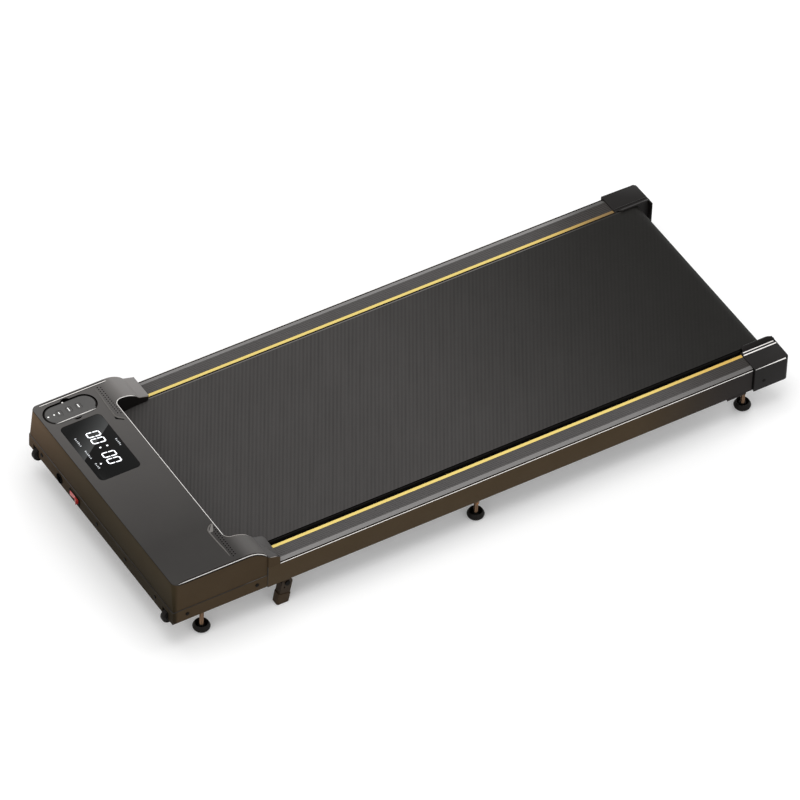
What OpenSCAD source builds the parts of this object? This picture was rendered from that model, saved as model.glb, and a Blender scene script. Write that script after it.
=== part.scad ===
// Walking pad: a flat treadmill with a low hood over its motor bay.
// X runs across, with +X to the right as seen from in front of the hood. Y runs from the hood to the rear.
// Z is up, and the origin is on the floor under the middle of the pad. Lengths are in millimetres.

/* [Overall] */
// Length from the hood's front face to the rear of the end caps
body_length = 1240; // [1160:5:1320]
// Floor to the lower edge of the side rails
skirt_z = 58; // [56:0.5:62]
// Height of the hood above the lower edge of the side rails
hood_height = 92; // [90:0.5:96]

/* [Belt and deck] */
// Width of the running belt
belt_w = 401; // [380:1:420]
// Thickness of the running belt
belt_t = 1.6; // [1.2:0.1:2.2]
// Radius of both roller tubes
roller_r = 20; // [19:0.5:21]
// Wall of the roller tubes
roller_wall = 2.5; // [2:0.25:3]
// Radius of the fixed roller shafts
shaft_r = 7.5; // [6:0.5:8]
// Width of one roller bearing
bearing_w = 11; // [8:1:14]
// Front roller axis, behind the hood's front face
front_roller_y = 118; // [116:1:124]
// Rear roller axis, in front of the rear of the end caps
rear_roller_setback = 43; // [40:1:48]
// Roller axis above the underside of the side frames
roller_rise = 23.9; // [23:0.1:25]
// Thickness of the deck board
deck_t = 12; // [10:0.5:14]
// Free length of deck left off in front of each roller
deck_gap = 7; // [5:1:12]
// Height of the deck cushions
cushion_h = 6; // [4:0.5:7]
// Radius of the deck cushions
cushion_r = 14; // [8:1:18]
// Number of cross tubes under the deck
cross_count = 5; // [3:1:7]
// Length of a cross tube's section along the pad
cross_d = 25; // [20:1:30]
// Height of a cross tube's section
cross_h = 18; // [14:0.5:20]

/* [Rails and side frames] */
// Dark gap between the belt's edge and the rail cover
belt_gap = 5.5; // [5:0.25:8]
// Width of a rail cover
rail_w = 44; // [42:1:50]
// Thickness of a rail cover over the side frame
rail_t = 4; // [3:0.25:5]
// Thickness of a rail cover's outer wall
rail_wall = 2.5; // [2:0.25:3]
// Width of the coloured trim strip
strip_w = 8.5; // [6:0.5:10]
// Thickness of the coloured trim strip
strip_t = 2; // [1.5:0.25:2.5]
// Width of the ribbed band
rib_band_w = 24; // [18:1:26]
// Number of grooves in the ribbed band
rib_count = 6; // [3:1:8]
// Depth of a groove in the ribbed band
rib_depth = 0.8; // [0.4:0.1:1.2]
// Width of a side frame tube
frame_w = 22; // [20:1:24]
// Height of a side frame tube
frame_h = 36; // [34:1:40]
// Wall of a side frame tube
frame_wall = 2; // [1.5:0.25:3]
// Side frame tube to the rail cover's inner face
frame_inset = 12; // [12:0.5:14]
// Underside of the side frame above the rail cover's lower edge
frame_lift = 9; // [8:0.5:12]

/* [Hood] */
// Depth of the hood over the belt, from its front face
hood_d = 135; // [130:1:145]
// Wall of the hood
hood_wall = 2.5; // [2:0.25:3]
// Radius of the hood's upright front corners
hood_corner_r = 13; // [8:0.5:16]
// How far the hood stands inside the rail covers
hood_inset = 3; // [2:0.25:4]
// Depth of the hood's side wings, from its front face
wing_d = 184.8; // [175:0.2:195]
// Radius of the curve at the rear of the wings
wing_curve_r = 51.4; // [46:0.2:60]
// Width of a wing beside the belt bay
wing_w = 57; // [54:1:60]
// How much the bay between the wings widens to the rear
bay_flare = 4; // [0:0.5:6]
// Radius where a wing meets the hood's rear edge
bay_fillet_r = 12; // [6:1:16]
// Height of the base tray's upright wall
tray_wall_h = 26; // [22:1:30]
// How far the base tray stands proud of the hood
tray_proud = 1.5; // [0:0.25:2.5]
// Depth of the rail shoulder behind a wing
shoulder_d = 23.5; // [18:0.5:30]
// Height of the rail shoulder above the rail at its rear end
shoulder_rear_h = 14; // [10:0.5:18]
// Height of the rail shoulder above the rail at its front end
shoulder_front_h = 23; // [19:0.5:26]

/* [Display] */
// Centre of the display across the pad
display_x = -104; // [-120:1:-90]
// Centre of the display behind the hood's front face
display_y = 60; // [55:1:65]
// Width of the display window
display_w = 141; // [120:1:145]
// Depth of the display window
display_d = 76; // [60:1:80]
// Corner radius of the display window
display_r = 9; // [4:0.5:12]
// Thickness of the display window
display_t = 2; // [1.5:0.1:2.4]

/* [Remote control] */
// Centre of the remote across the pad
remote_x = -210; // [-212:0.5:-208]
// Centre of the remote behind the hood's front face
remote_y = 58; // [54:1:64]
// Width of the remote
remote_w = 46; // [38:0.5:46]
// Length of the remote
remote_l = 101; // [90:1:104]
// Thickness of the remote
remote_t = 12; // [10:0.5:14]
// Gap between the remote and its recess
remote_gap = 0.8; // [0.5:0.1:1.2]
// Radius of the finger notches beside the remote
notch_r = 10.5; // [9:0.5:12]
// How far a finger notch reaches past the recess
notch_reach = 4.6; // [4.2:0.1:5]
// Depth of the finger notches
notch_depth = 9; // [7:0.5:10]
// Width of a remote key
key_w = 14; // [10:0.5:18]
// Depth of a remote key
key_d = 10; // [7:0.5:12]
// Thickness of a remote key
key_t = 2.2; // [1.5:0.1:3]
// Travel of a remote key
key_travel = 0.5; // [0.3:0.1:1]

/* [Motor and drive] */
// Radius of the motor housing
motor_r = 37; // [33:0.5:38]
// Length of the motor housing
motor_l = 150; // [120:1:160]
// Motor axis behind the hood's front face
motor_y = 52; // [50:0.5:56]
// Clearance between the motor and the hood's roof
motor_headroom = 7; // [6:0.5:10]
// Radius of the motor shaft
motor_shaft_r = 5; // [4:0.5:6]
// Radius of the motor pulley
motor_pulley_r = 12; // [10:0.5:14]
// Radius of the flywheel
flywheel_r = 33; // [25:0.5:34]
// Radius of the front roller's pulley
roller_pulley_r = 26; // [24:0.5:26]
// Width of the drive belt
drive_w = 9; // [8:0.5:10]
// Thickness of the drive belt
drive_t = 2.5; // [2:0.1:3]
// Gap between the motor and the flywheel
flywheel_gap = 3; // [2:0.5:6]

/* [Feet, legs and wheels] */
// Radius of a foot cup at its rim
foot_r = 16.5; // [14:0.5:17]
// Radius of a foot cup at the floor
foot_base_r = 13; // [10:0.5:13.5]
// Height of a foot cup
foot_h = 14; // [12:0.5:18]
// Radius of a foot's stud
stud_r = 4; // [3:0.5:4]
// Front foot behind the hood's front face
foot_front_y = 67; // [60:1:80]
// Middle foot behind the hood's front face
foot_mid_y = 615; // [560:1:680]
// Rear foot in front of the rear of the end caps
foot_rear_setback = 76; // [74:1:90]
// How far the legs' pivots are behind the rear ends of the wings
leg_back = 40.8; // [37.2:0.2:50]
// Leg pivot above the floor
leg_pivot_z = 46.5; // [44:0.5:48]
// Forward lean of a leg, in degrees
leg_lean = 10; // [6:0.5:14]
// Section of a leg tube along the pad
leg_d = 21; // [18:0.5:24]
// Section of a leg tube across the pad
leg_w = 15; // [13:0.5:17]
// Wall of a leg tube
leg_wall = 1.8; // [1.5:0.1:2.5]
// Clearance between a leg's cap and the floor
leg_floor_gap = 0.6; // [0.3:0.1:1]
// Radius of a transport wheel
wheel_r = 14; // [12:0.5:15]
// Width of a transport wheel
wheel_w = 10; // [8:0.5:12]
// Wheel axis behind the hood's front face
wheel_y = 5; // [4:0.5:8]
// Wheel axis above the floor
wheel_z = 58; // [56:0.5:60]
// Radius of the pivot bolts of the legs and wheels
bolt_r = 3; // [2.5:0.25:3.5]

/* [End caps] */
// Length of an end cap
cap_l = 72; // [68:1:80]
// Wall of an end cap
cap_wall = 2.5; // [2:0.25:3]
// How far an end cap stands proud of the rail cover's side
cap_proud = 3.8; // [3:0.2:4.5]
// How far an end cap stands above the rail cover
cap_rise = 1.2; // [0.8:0.1:2]
// How far an end cap reaches below the rail cover
cap_drop = 2.2; // [1:0.1:3]
// Overlap of an end cap beyond the rail cover's inner edge
cap_reach = 2; // [1:0.25:3]
// Radius of an end cap's rear corner
cap_corner_r = 8; // [4:0.5:12]

/* [Power entry] */
// Centre of the power inlet across the pad
inlet_x = -140.5; // [-170:0.5:-130]
// Radius of the power inlet's bore
inlet_r = 6; // [5:0.25:7]
// Depth of the power inlet's bore
inlet_depth = 12; // [8:0.5:14]
// Centre of the power switch across the pad
switch_x = -88; // [-110:1:-60]
// Width of the rocker
rocker_w = 29; // [22:0.5:30]
// Height of the rocker
rocker_h = 11; // [9:0.5:12]
// Tilt of the rocker at rest, in degrees
rocker_tilt = 9; // [5:0.5:12]

/* [Clearances] */
// Gap between pieces that move past each other
run_gap = 0.3; // [0.3:0.05:0.4]
// Gap between fixed pieces that are assembled by hand
fit_gap = 0.2; // [0.1:0.05:0.3]
// Radial clearance of a shaft or pin in its bore
pin_gap = 0.05; // [0.03:0.01:0.08]

/* [Hidden] */
$fn = 48;
left = -1;
right = 1;

// Places along the pad. Modules draw from the hood's front face, and placed() centres the whole pad.
wheel_lead = wheel_r - wheel_y;
pad_shift = -(body_length - wheel_lead) / 2;
cap_y = body_length - cap_l;
rear_roller_y = body_length - rear_roller_setback;
foot_rear_y = body_length - foot_rear_setback;
rail_start_y = wing_d + fit_gap;
rail_end_y = cap_y - fit_gap;

// Places across the pad, for the right side.
belt_half = belt_w / 2;
rail_in = belt_half + belt_gap;
rail_out = rail_in + rail_w;
frame_in = rail_in + frame_inset;
frame_out = frame_in + frame_w;
frame_mid = (frame_in + frame_out) / 2;
hood_half = rail_out - hood_inset;
tray_half = hood_half + tray_proud;
wing_in = hood_half - wing_w;
cap_in = rail_in - cap_reach;
cap_out = rail_out + cap_proud;
roller_half = belt_half + 2.5;

// Heights above the floor.
frame_z = skirt_z + frame_lift;
frame_top = frame_z + frame_h;
rail_top = frame_top + rail_t;
roller_z = frame_z + roller_rise;
belt_top = roller_z + roller_r + run_gap + belt_t;
belt_low = roller_z - roller_r - run_gap - belt_t;
deck_top = belt_top - belt_t - run_gap;
deck_z = deck_top - deck_t;
cushion_z = deck_z - cushion_h;
cross_z = cushion_z - cross_h;
hood_top = skirt_z + hood_height;
roof_t = hood_wall + 1;
bolt_head_t = 2.4;
tray_z = skirt_z + 1;
seam_z = tray_z + tray_wall_h;
bay_z = belt_top + 1.5;
bead_drop = 2;
bead_w = 2.5;
cap_top = rail_top + cap_rise;
cap_z = skirt_z - cap_drop;
motor_z = hood_top - hood_wall - motor_headroom - motor_r;
entry_z = tray_z + tray_wall_h / 2 - 1;
rim_t = 1.5;

// Remote control and its recess.
remote_r = remote_w / 2;
recess_r = remote_r + remote_gap;
recess_l = remote_l + 2 * remote_gap;
remote_z = hood_top - remote_t - fit_gap;
remote_back_t = 1.5;
recess_floor_t = 2;
remote_wall = 1.8;
key_y = [-21, -2, 17];

// Legs: the tube hangs from a lug under the side frame, and leans forward to the floor.
leg_x = rail_out - 11;
leg_y = wing_d + leg_back;
lug_w = leg_w - 2 * leg_wall - 2 * fit_gap;
leg_cap_h = 22;
leg_cap_grow = 1.6;

// Wheels: each turns between two fork plates on the front end of a side frame.
fork_t = 2.5;
fork_y = wheel_y + wheel_r + 2;
fork_r = 8;
wheel_x = frame_in + wheel_w / 2;

// Drive: pulleys beside the right end of the front roller.
drive_x = roller_half;
pulley_w = drive_w + 2;
front_axis = [front_roller_y, roller_z];
motor_axis = [motor_y, motor_z];
motor_end_x = drive_x - flywheel_gap - 14;
strap_w = 22;
strap_inset = 30;
strap_t = 2.5;

// Control board, with its heat sink.
board_w = 138;
board_d = 60;
board_t = 1.6;
board_x = inlet_x - 23.5;
board_y = (hood_d - board_d) / 2 - 7.5;
board_z = tray_z + 7;
part_h = 34;
can_r = 9;
sink_w = 32;
sink_base = 5;
fin_h = 22;
fin_count = 8;
flywheel_t = 12;

// Rows of places.
cross_first_y = front_roller_y + 82;
cross_last_y = rear_roller_y - 77;
cross_pitch = (cross_last_y - cross_first_y) / (cross_count - 1);
cross_ys = [for (i = [0 : cross_count - 1]) cross_first_y + i * cross_pitch];
front_screw_xs = [-203, -11, 86, 188];
side_screw_ys = [27, 164];
screw_z = seam_z - 12;
screw_r = 3.4;
screw_shank_r = 1.8;
tray_vent_xs = [for (i = [-3 : 3]) motor_end_x - flywheel_t - motor_l / 2 + i * 6];

// Moves a piece from the hood's front face to its place on the pad.
module placed() translate([0, pad_shift, 0]) children();

// Draws a piece on the right side, or its mirror image on the left side.
module on_side(side) {
    if (side == right) children();
    else mirror([1, 0, 0]) children();
}

// Draws a piece on both sides.
module both_sides() {
    on_side(right) children();
    on_side(left) children();
}

// A cylinder along X from x0 to x1, with its axis at y and z.
module x_rod(r, x0, x1, y, z) translate([x0, y, z]) rotate([0, 90, 0]) cylinder(r = r, h = x1 - x0);

// A cylinder along Y from y0 to y1, with its axis at x and z.
module y_rod(r, x, y0, y1, z) translate([x, y1, z]) rotate([90, 0, 0]) cylinder(r = r, h = y1 - y0);

// A block between two corners.
module block(low, high) translate(low) cube(high - low);

// An outline in Y and Z, drawn out along X from x0 to x1.
module along_x(x0, x1) translate([x0, 0, 0]) rotate([90, 0, 90]) linear_extrude(height = x1 - x0) children();

// An outline in X and Z, drawn out along Y from y0 to y1.
module along_y(y0, y1) translate([0, y1, 0]) rotate([90, 0, 0]) linear_extrude(height = y1 - y0) children();

// A rectangle with round corners, centred on the origin.
module round_rect(w, d, r) {
    square([w - 2 * r, d], center = true);
    square([w, d - 2 * r], center = true);
    for (sx = [-1, 1], sy = [-1, 1]) translate([sx * (w / 2 - r), sy * (d / 2 - r)]) circle(r);
}

// A pill outline, long along Y, centred on the origin.
module pill(r, l) {
    square([2 * r, l - 2 * r], center = true);
    for (s = [-1, 1]) translate([0, s * (l / 2 - r)]) circle(r);
}

// A belt of thickness t round two pulleys, in Y and Z: part of a ring on each pulley, and two straight
// runs. The runs leave a pulley at the angle whose cosine is the difference of the radii over the
// distance of the axes.
module belt_loop(a, ra, b, rb, t) {
    gap = norm(b - a);
    heading = atan2(b[1] - a[1], b[0] - a[0]);
    lean = acos((ra - rb) / gap);
    function rim(c, r, turn) = c + r * [cos(heading + turn), sin(heading + turn)];
    module ring(c, r, away) {
        difference() {
            translate(c) circle(r + t, $fn = 96);
            translate(c) circle(r, $fn = 96);
            polygon([c, rim(c, gap / 2, lean), rim(c, gap, away), rim(c, gap / 2, -lean)]);
        }
    }
    ring(a, ra, 0);
    ring(b, rb, 180);
    for (s = [-1, 1])
        polygon([rim(a, ra, s * lean), rim(a, ra + t, s * lean), rim(b, rb + t, s * lean), rim(b, rb, s * lean)]);
}

// Hood outline in plan, drawn in by t from the outer face.
module hood_plan(t) {
    r = hood_corner_r;
    w = hood_half;
    translate([-(w - t), r]) square([2 * (w - t), hood_d - t - r]);
    translate([-(w - r), t]) square([2 * (w - r), hood_d - 2 * t]);
    for (s = [-1, 1]) translate([s * (w - r), r]) circle(r - t);
    for (s = [-1, 1]) scale([s, 1]) {
        polygon([
            [wing_in + t, hood_d - 2 * hood_wall - t], [w - t, hood_d - 2 * hood_wall - t],
            [w - t, wing_d], [wing_in + bay_flare + t, wing_d]
        ]);
        difference() {
            translate([wing_in - bay_fillet_r, hood_d - 2 * t]) square([bay_fillet_r + 2 * t, bay_fillet_r + t]);
            translate([wing_in - bay_fillet_r, hood_d + bay_fillet_r]) circle(bay_fillet_r + t);
        }
    }
}

// Hood outline from the side, in Y and Z, drawn in by t. The wings end in a round drop.
module hood_side(t) {
    curve_y = wing_d - 39.8;
    curve_z = hood_top - wing_curve_r;
    r = wing_curve_r - t;
    translate([t, seam_z]) square([curve_y - t, hood_top - t - seam_z]);
    intersection() {
        translate([curve_y, curve_z]) circle(r, $fn = 120);
        translate([curve_y, seam_z]) square([wing_d - curve_y, hood_top - seam_z]);
    }
}

module hood_mass(t) {
    intersection() {
        translate([0, 0, seam_z]) linear_extrude(height = hood_top - seam_z) hood_plan(t);
        along_x(-hood_half, hood_half) hood_side(t);
    }
}

// The remote's recess with its finger notches, in plan, grown by t.
module recess_plan(t) {
    pill(recess_r + t, recess_l + 2 * t);
    for (s = [-1, 1]) translate([s * (recess_r + notch_reach - notch_r), 2]) circle(notch_r + t);
}

module hood_cover() {
    tab_t = 3;
    tab_y = hood_wall - tray_proud + fit_gap;
    tab_x = tray_half - hood_wall - fit_gap;
    color("dimgray") difference() {
        union() {
            difference() {
                hood_mass(0);
                translate([0, 0, hood_wall - roof_t]) hood_mass(hood_wall);
            }
            // Rim that carries the display window
            translate([display_x, display_y, hood_top - hood_wall - rim_t]) linear_extrude(height = rim_t + 1)
                round_rect(display_w + 6, display_d + 6, display_r + 3);
            // Tabs that reach down inside the tray, for its screws
            for (x = front_screw_xs)
                block([x - 6, tab_y, screw_z - 5], [x + 6, tab_y + tab_t, seam_z + 4]);
            both_sides() for (y = side_screw_ys)
                block([tab_x - tab_t, y - 6, screw_z - 5], [tab_x, y + 6, seam_z + 4]);
        }
        // Bay for the belt between the wings, and the room for the rails under them
        block([-rail_in + 0.5, hood_d - hood_wall - 1, seam_z - 1], [rail_in - 0.5, wing_d + 1, bay_z]);
        block([-belt_half - 3, front_roller_y - roller_r, seam_z - 1], [belt_half + 3, wing_d + 1, bay_z]);
        translate([remote_x, remote_y, hood_top - roof_t - 1]) linear_extrude(height = roof_t + 2)
            recess_plan(0);
        // Seat and opening of the display
        translate([display_x, display_y, hood_top - display_t]) linear_extrude(height = display_t + 1)
            round_rect(display_w + 2 * fit_gap, display_d + 2 * fit_gap, display_r + fit_gap);
        translate([display_x, display_y, hood_top - hood_wall - rim_t - 1])
            linear_extrude(height = hood_wall + rim_t + 2) round_rect(display_w - 8, display_d - 8, display_r - 3);
        for (x = front_screw_xs) y_rod(screw_shank_r + pin_gap, x, tab_y - 1, tab_y + tab_t + 1, screw_z);
        both_sides() for (y = side_screw_ys)
            x_rod(screw_shank_r + pin_gap, tab_x - tab_t - 1, tab_x + 1, y, screw_z);
        // Shadow groove at the rear of each wing's skirt
        both_sides() block([hood_half - 1, wing_d - 1, seam_z + fit_gap], [hood_half + 1, wing_d + 1, hood_top]);
    }
}

// Cup that holds the remote, fixed under the hood's opening, with a ledge under each finger notch.
module remote_bay() {
    bay_top = hood_top - roof_t;
    recess_z = remote_z - run_gap;
    color("dimgray") difference() {
        union() {
            translate([remote_x, remote_y, recess_z - recess_floor_t])
                linear_extrude(height = bay_top - recess_z + recess_floor_t) pill(recess_r + 2, recess_l + 4);
            translate([remote_x, remote_y, hood_top - notch_depth - 2])
                linear_extrude(height = bay_top - hood_top + notch_depth + 2) recess_plan(2);
        }
        translate([remote_x, remote_y, recess_z]) linear_extrude(height = remote_t) pill(recess_r, recess_l);
        translate([remote_x, remote_y, hood_top - notch_depth]) linear_extrude(height = notch_depth)
            recess_plan(0);
    }
}

// Outer outline of a rail cover in X and Z, closed across its bottom, without its grooves.
module rail_outline() {
    polygon([
        [rail_in, skirt_z], [rail_in, rail_top], [rail_in + strip_w + 0.5 + rib_band_w, rail_top],
        [rail_out - bead_w, rail_top - bead_drop], [rail_out, rail_top - bead_drop], [rail_out, skirt_z]
    ]);
}

// The rail shoulder closes the rail behind a wing: its roof falls towards the rear.
module shoulder(side) {
    y0 = wing_d + fit_gap;
    y1 = y0 + shoulder_d;
    front_z = rail_top + shoulder_front_h;
    rear_z = rail_top + shoulder_rear_h;
    inner_x = wing_in + bay_flare;
    r = 8;
    color("dimgray") on_side(side) difference() {
        intersection() {
            translate([0, 0, rail_top - bead_drop]) linear_extrude(height = shoulder_front_h + bead_drop) union() {
                translate([inner_x, y0]) square([rail_out - inner_x, shoulder_d - r]);
                translate([inner_x + r, y0]) square([rail_out - inner_x - r, shoulder_d]);
                translate([inner_x + r, y1 - r]) circle(r);
            }
            along_x(inner_x, rail_out) polygon([
                [y0, rail_top - bead_drop], [y1, rail_top - bead_drop], [y1, rear_z], [y1 - 3, rear_z + 3],
                [y0, front_z]
            ]);
        }
        // Room for the belt's edge, for the rail cover under the shoulder, and inside
        block([inner_x - 1, y0 - 1, seam_z], [rail_in + fit_gap, y1 + 1, bay_z]);
        along_y(y0 - 1, y1 + 1) rail_outline();
        block([rail_in + hood_wall, y0 - 1, rail_top - 1],
            [rail_out - hood_wall, y1 - hood_wall, rear_z - hood_wall]);
    }
}

// Base tray under the motor bay, with an upright wall at the front and the sides.
module base_tray() {
    front = -tray_proud;
    wall = hood_wall;
    rear = front_roller_y + 34;
    floor_t = 2;
    color("dimgray") difference() {
        union() {
            block([-tray_half, front, tray_z], [tray_half, rear, tray_z + floor_t]);
            block([-tray_half, front, tray_z], [tray_half, front + wall, seam_z - fit_gap]);
            both_sides() block([tray_half - wall, front, tray_z], [tray_half, wing_d, seam_z - fit_gap]);
            // Posts that carry the control board
            for (x = [board_x + 6, board_x + board_w - 6], y = [board_y + 6, board_y + board_d - 6])
                translate([x, y, tray_z + floor_t - 1]) cylinder(r = 4, h = 6);
        }
        // Slots for the wheels and their forks
        both_sides() block([wheel_x - wheel_w / 2 - fork_t - 2, front - 1, tray_z - 1],
            [wheel_x + wheel_w / 2 + fork_t + bolt_head_t + 1, fork_y + 4, wheel_z + wheel_r + 2]);
        both_sides() block([wheel_x, fork_y - 1, tray_z - 1], [frame_out + 1, fork_y + 4, tray_z + floor_t + 1]);
        // Holes for the front feet
        both_sides() translate([frame_mid, foot_front_y, tray_z - 1]) cylinder(r = stud_r + 4, h = floor_t + 2);
        y_rod(inlet_r + 2.5 + fit_gap, inlet_x, front - 1, front + wall + 1, entry_z);
        block([switch_x - rocker_w / 2 - 1 - fit_gap, front - 1, entry_z - rocker_h / 2 - 1 - fit_gap],
            [switch_x + rocker_w / 2 + 1 + fit_gap, front + wall + 1, entry_z + rocker_h / 2 + 1 + fit_gap]);
        for (x = front_screw_xs) y_rod(screw_shank_r + pin_gap, x, front - 1, front + wall + 1, screw_z);
        both_sides() for (y = side_screw_ys)
            x_rod(screw_shank_r + pin_gap, tray_half - wall - 1, tray_half + 1, y, screw_z);
        // Air slots under the motor
        for (x = tray_vent_xs) block([x - 1.5, 34, tray_z - 1], [x + 1.5, 74, tray_z + floor_t + 1]);
    }
}

// Side frame: a box tube with the wheel fork, the leg lug and the foot nuts welded on.
module side_frame(side) {
    inner = frame_wall;
    wx = wheel_x;
    nut_z = frame_z - 5;
    y1 = body_length - cap_wall - 4;
    color("dimgray") on_side(side) difference() {
        union() {
            difference() {
                block([frame_in, fork_y, frame_z], [frame_out, y1, frame_top]);
                block([frame_in + inner, fork_y + 3, frame_z + inner], [frame_out - inner, y1 - 4, frame_top - inner]);
            }
            // Fork: a plate across the tube's front end, with two cheeks
            block([wx - wheel_w / 2 - run_gap - fork_t, fork_y, wheel_z - fork_r],
                [frame_out, fork_y + 3, frame_z + 1]);
            for (x = [wx - wheel_w / 2 - run_gap - fork_t, wx + wheel_w / 2 + run_gap]) {
                x_rod(fork_r, x, x + fork_t, wheel_y, wheel_z);
                block([x, wheel_y, wheel_z - fork_r], [x + fork_t, fork_y + 1, wheel_z + fork_r]);
            }
            // Lug for the leg
            x_rod(leg_d / 2 - 3, leg_x - lug_w / 2, leg_x + lug_w / 2, leg_y, leg_pivot_z);
            block([leg_x - lug_w / 2, leg_y - leg_d / 2 + 3, leg_pivot_z],
                [leg_x + lug_w / 2, leg_y + leg_d / 2 - 3, frame_z + 1]);
            // Nuts for the feet, with a longer box at the rear foot
            for (y = [foot_front_y, foot_mid_y]) translate([frame_mid, y, nut_z]) cylinder(r = 8, h = 6, $fn = 6);
            block([frame_in, foot_rear_y - 18, nut_z - 12], [frame_out + 4, foot_rear_y + 18, frame_z + 1]);
        }
        // Threaded way for the studs
        for (y = [foot_front_y, foot_mid_y, foot_rear_y])
            translate([frame_mid, y, nut_z - 13]) cylinder(r = stud_r + pin_gap, h = frame_top - nut_z);
        // Seats of the roller shafts
        for (y = [front_roller_y, rear_roller_y])
            x_rod(shaft_r + pin_gap, frame_in - 1, frame_out + 1, y, roller_z);
        // Hole of the tension bolt, and bore of the end cap's screw
        y_rod(bolt_r + 1, frame_mid, y1 - 5, y1 + 1, roller_z);
        x_rod(screw_shank_r + pin_gap, frame_out - inner - 1, frame_out + 1, cap_y + 20.5, cap_z + 18);
        // Bores of the wheel bolt and the leg bolt
        x_rod(bolt_r + pin_gap, wx - wheel_w, wx + wheel_w, wheel_y, wheel_z);
        x_rod(bolt_r + pin_gap, leg_x - leg_w, leg_x + leg_w, leg_y, leg_pivot_z);
    }
}

module cross_tubes() {
    wall = 1.5;
    color("gray") for (y = cross_ys) difference() {
        block([-frame_in, y - cross_d / 2, cross_z], [frame_in, y + cross_d / 2, cushion_z]);
        block([-frame_in - 1, y - cross_d / 2 + wall, cross_z + wall], [frame_in + 1, y + cross_d / 2 - wall,
            cushion_z - wall]);
    }
}

// Rail cover: a section with a channel for the strip, a ribbed band, a sloping band and a bead.
module rail_cover(side) {
    rib_pitch = rib_band_w / rib_count;
    rib_x = rail_in + strip_w + 0.5;
    band_x = rib_x + rib_band_w;
    bead_z = rail_top - bead_drop;
    bead_x = rail_out - bead_w + 0.9;
    lip_z = frame_top - 7;
    color("gray") on_side(side) along_y(rail_start_y, rail_end_y) difference() {
        polygon([
            [rail_in, lip_z], [rail_in, rail_top - strip_t], [rail_in + strip_w, rail_top - strip_t],
            [rail_in + strip_w, rail_top], [band_x, rail_top], [bead_x - 0.9, bead_z],
            [bead_x - 0.9, bead_z - 1], [bead_x, bead_z - 1], [bead_x, bead_z],
            [rail_out, bead_z], [rail_out, skirt_z], [rail_out - rail_wall, skirt_z],
            [rail_out - rail_wall, frame_top], [rail_in + 1.5, frame_top], [rail_in + 1.5, lip_z]
        ]);
        for (i = [0 : rib_count - 1])
            translate([rib_x + (i + 0.3) * rib_pitch, rail_top - rib_depth])
                square([rib_pitch * 0.4, rib_depth + 1]);
    }
}

module trim_strip(side) {
    color("gold") on_side(side)
        block([rail_in, rail_start_y + shoulder_d + fit_gap, rail_top - strip_t],
            [rail_in + strip_w - fit_gap / 2, rail_end_y, rail_top]);
}

// End cap: a shell with a rear wall that reaches in behind the roller's end.
module end_cap(side) {
    r = cap_corner_r;
    rear_in = cap_in - 9;
    inner_z = belt_top - 14;
    module cap_plan(t, y0) {
        translate([cap_in + t, y0]) square([cap_out - cap_in - 2 * t, body_length - t - r - y0]);
        translate([cap_in + t, y0]) square([cap_out - cap_in - r - t, body_length - t - y0]);
        translate([cap_out - r, body_length - r]) circle(r - t);
    }
    color("dimgray") on_side(side) difference() {
        union() {
            difference() {
                translate([0, 0, cap_z]) linear_extrude(height = cap_top - cap_z) cap_plan(0, cap_y);
                translate([0, 0, cap_z - 1])
                    linear_extrude(height = cap_top - cap_z + 1 - cap_wall) cap_plan(cap_wall, cap_y + cap_wall);
                block([cap_in - 1, cap_y - 1, cap_z - 1], [rail_out - rail_wall, cap_y + cap_wall + 1, frame_top + 1]);
                block([cap_in - 1, cap_y - 1, cap_z - 1], [cap_in + cap_wall + 1, body_length - cap_wall, inner_z]);
            }
            block([rear_in, body_length - cap_wall, cap_z + 4], [cap_in + r, body_length, cap_top]);
            block([rear_in, body_length - 8, cap_top - cap_wall], [cap_in + 1, body_length, cap_top]);
        }
        x_rod(screw_shank_r + pin_gap, cap_out - cap_wall - 1, cap_out + 1, cap_y + 20.5, cap_z + 18);
        // Access to the tension bolt
        y_rod(5, frame_mid, body_length - cap_wall - 1, body_length + 1, roller_z);
    }
}

module display_window() {
    color("black") translate([display_x, display_y, hood_top - display_t]) linear_extrude(height = display_t)
        round_rect(display_w, display_d, display_r);
}

// Display board, held under the hood's roof by its frame.
module display_board() {
    frame_t = 5;
    z = hood_top - hood_wall - rim_t;
    color("darkgreen") difference() {
        translate([display_x, display_y, z - frame_t]) linear_extrude(height = frame_t)
            round_rect(display_w - 2, display_d - 2, 3);
        translate([display_x, display_y, z - frame_t + 1.6]) linear_extrude(height = frame_t)
            round_rect(display_w - 10, display_d - 10, 3);
    }
}

module deck_board() {
    half = belt_half + 2.5;
    color("saddlebrown") block([-half, front_roller_y + roller_r + deck_gap, deck_z],
        [half, rear_roller_y - roller_r - deck_gap, deck_top]);
}

module deck_cushions() {
    color("black") for (x = [-0.75, 0, 0.75], y = cross_ys)
        translate([x * belt_half, y, cushion_z]) cylinder(r = min(cushion_r, cross_d / 2), h = cushion_h);
}

module running_belt() {
    r = roller_r + run_gap;
    color("darkslategray") along_x(-belt_half, belt_half)
        belt_loop([front_roller_y, roller_z], r, [rear_roller_y, roller_z], r, belt_t);
}

// Fixed shafts of both rollers. The rear one has a threaded cross hole at each end.
module roller_shafts() {
    half = frame_out - 1;
    color("silver") {
        x_rod(shaft_r, -half, half, front_roller_y, roller_z);
        difference() {
            x_rod(shaft_r, -half, half, rear_roller_y, roller_z);
            both_sides() y_rod(bolt_r + pin_gap, frame_mid, rear_roller_y - 10, rear_roller_y + 10, roller_z);
        }
    }
}

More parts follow.
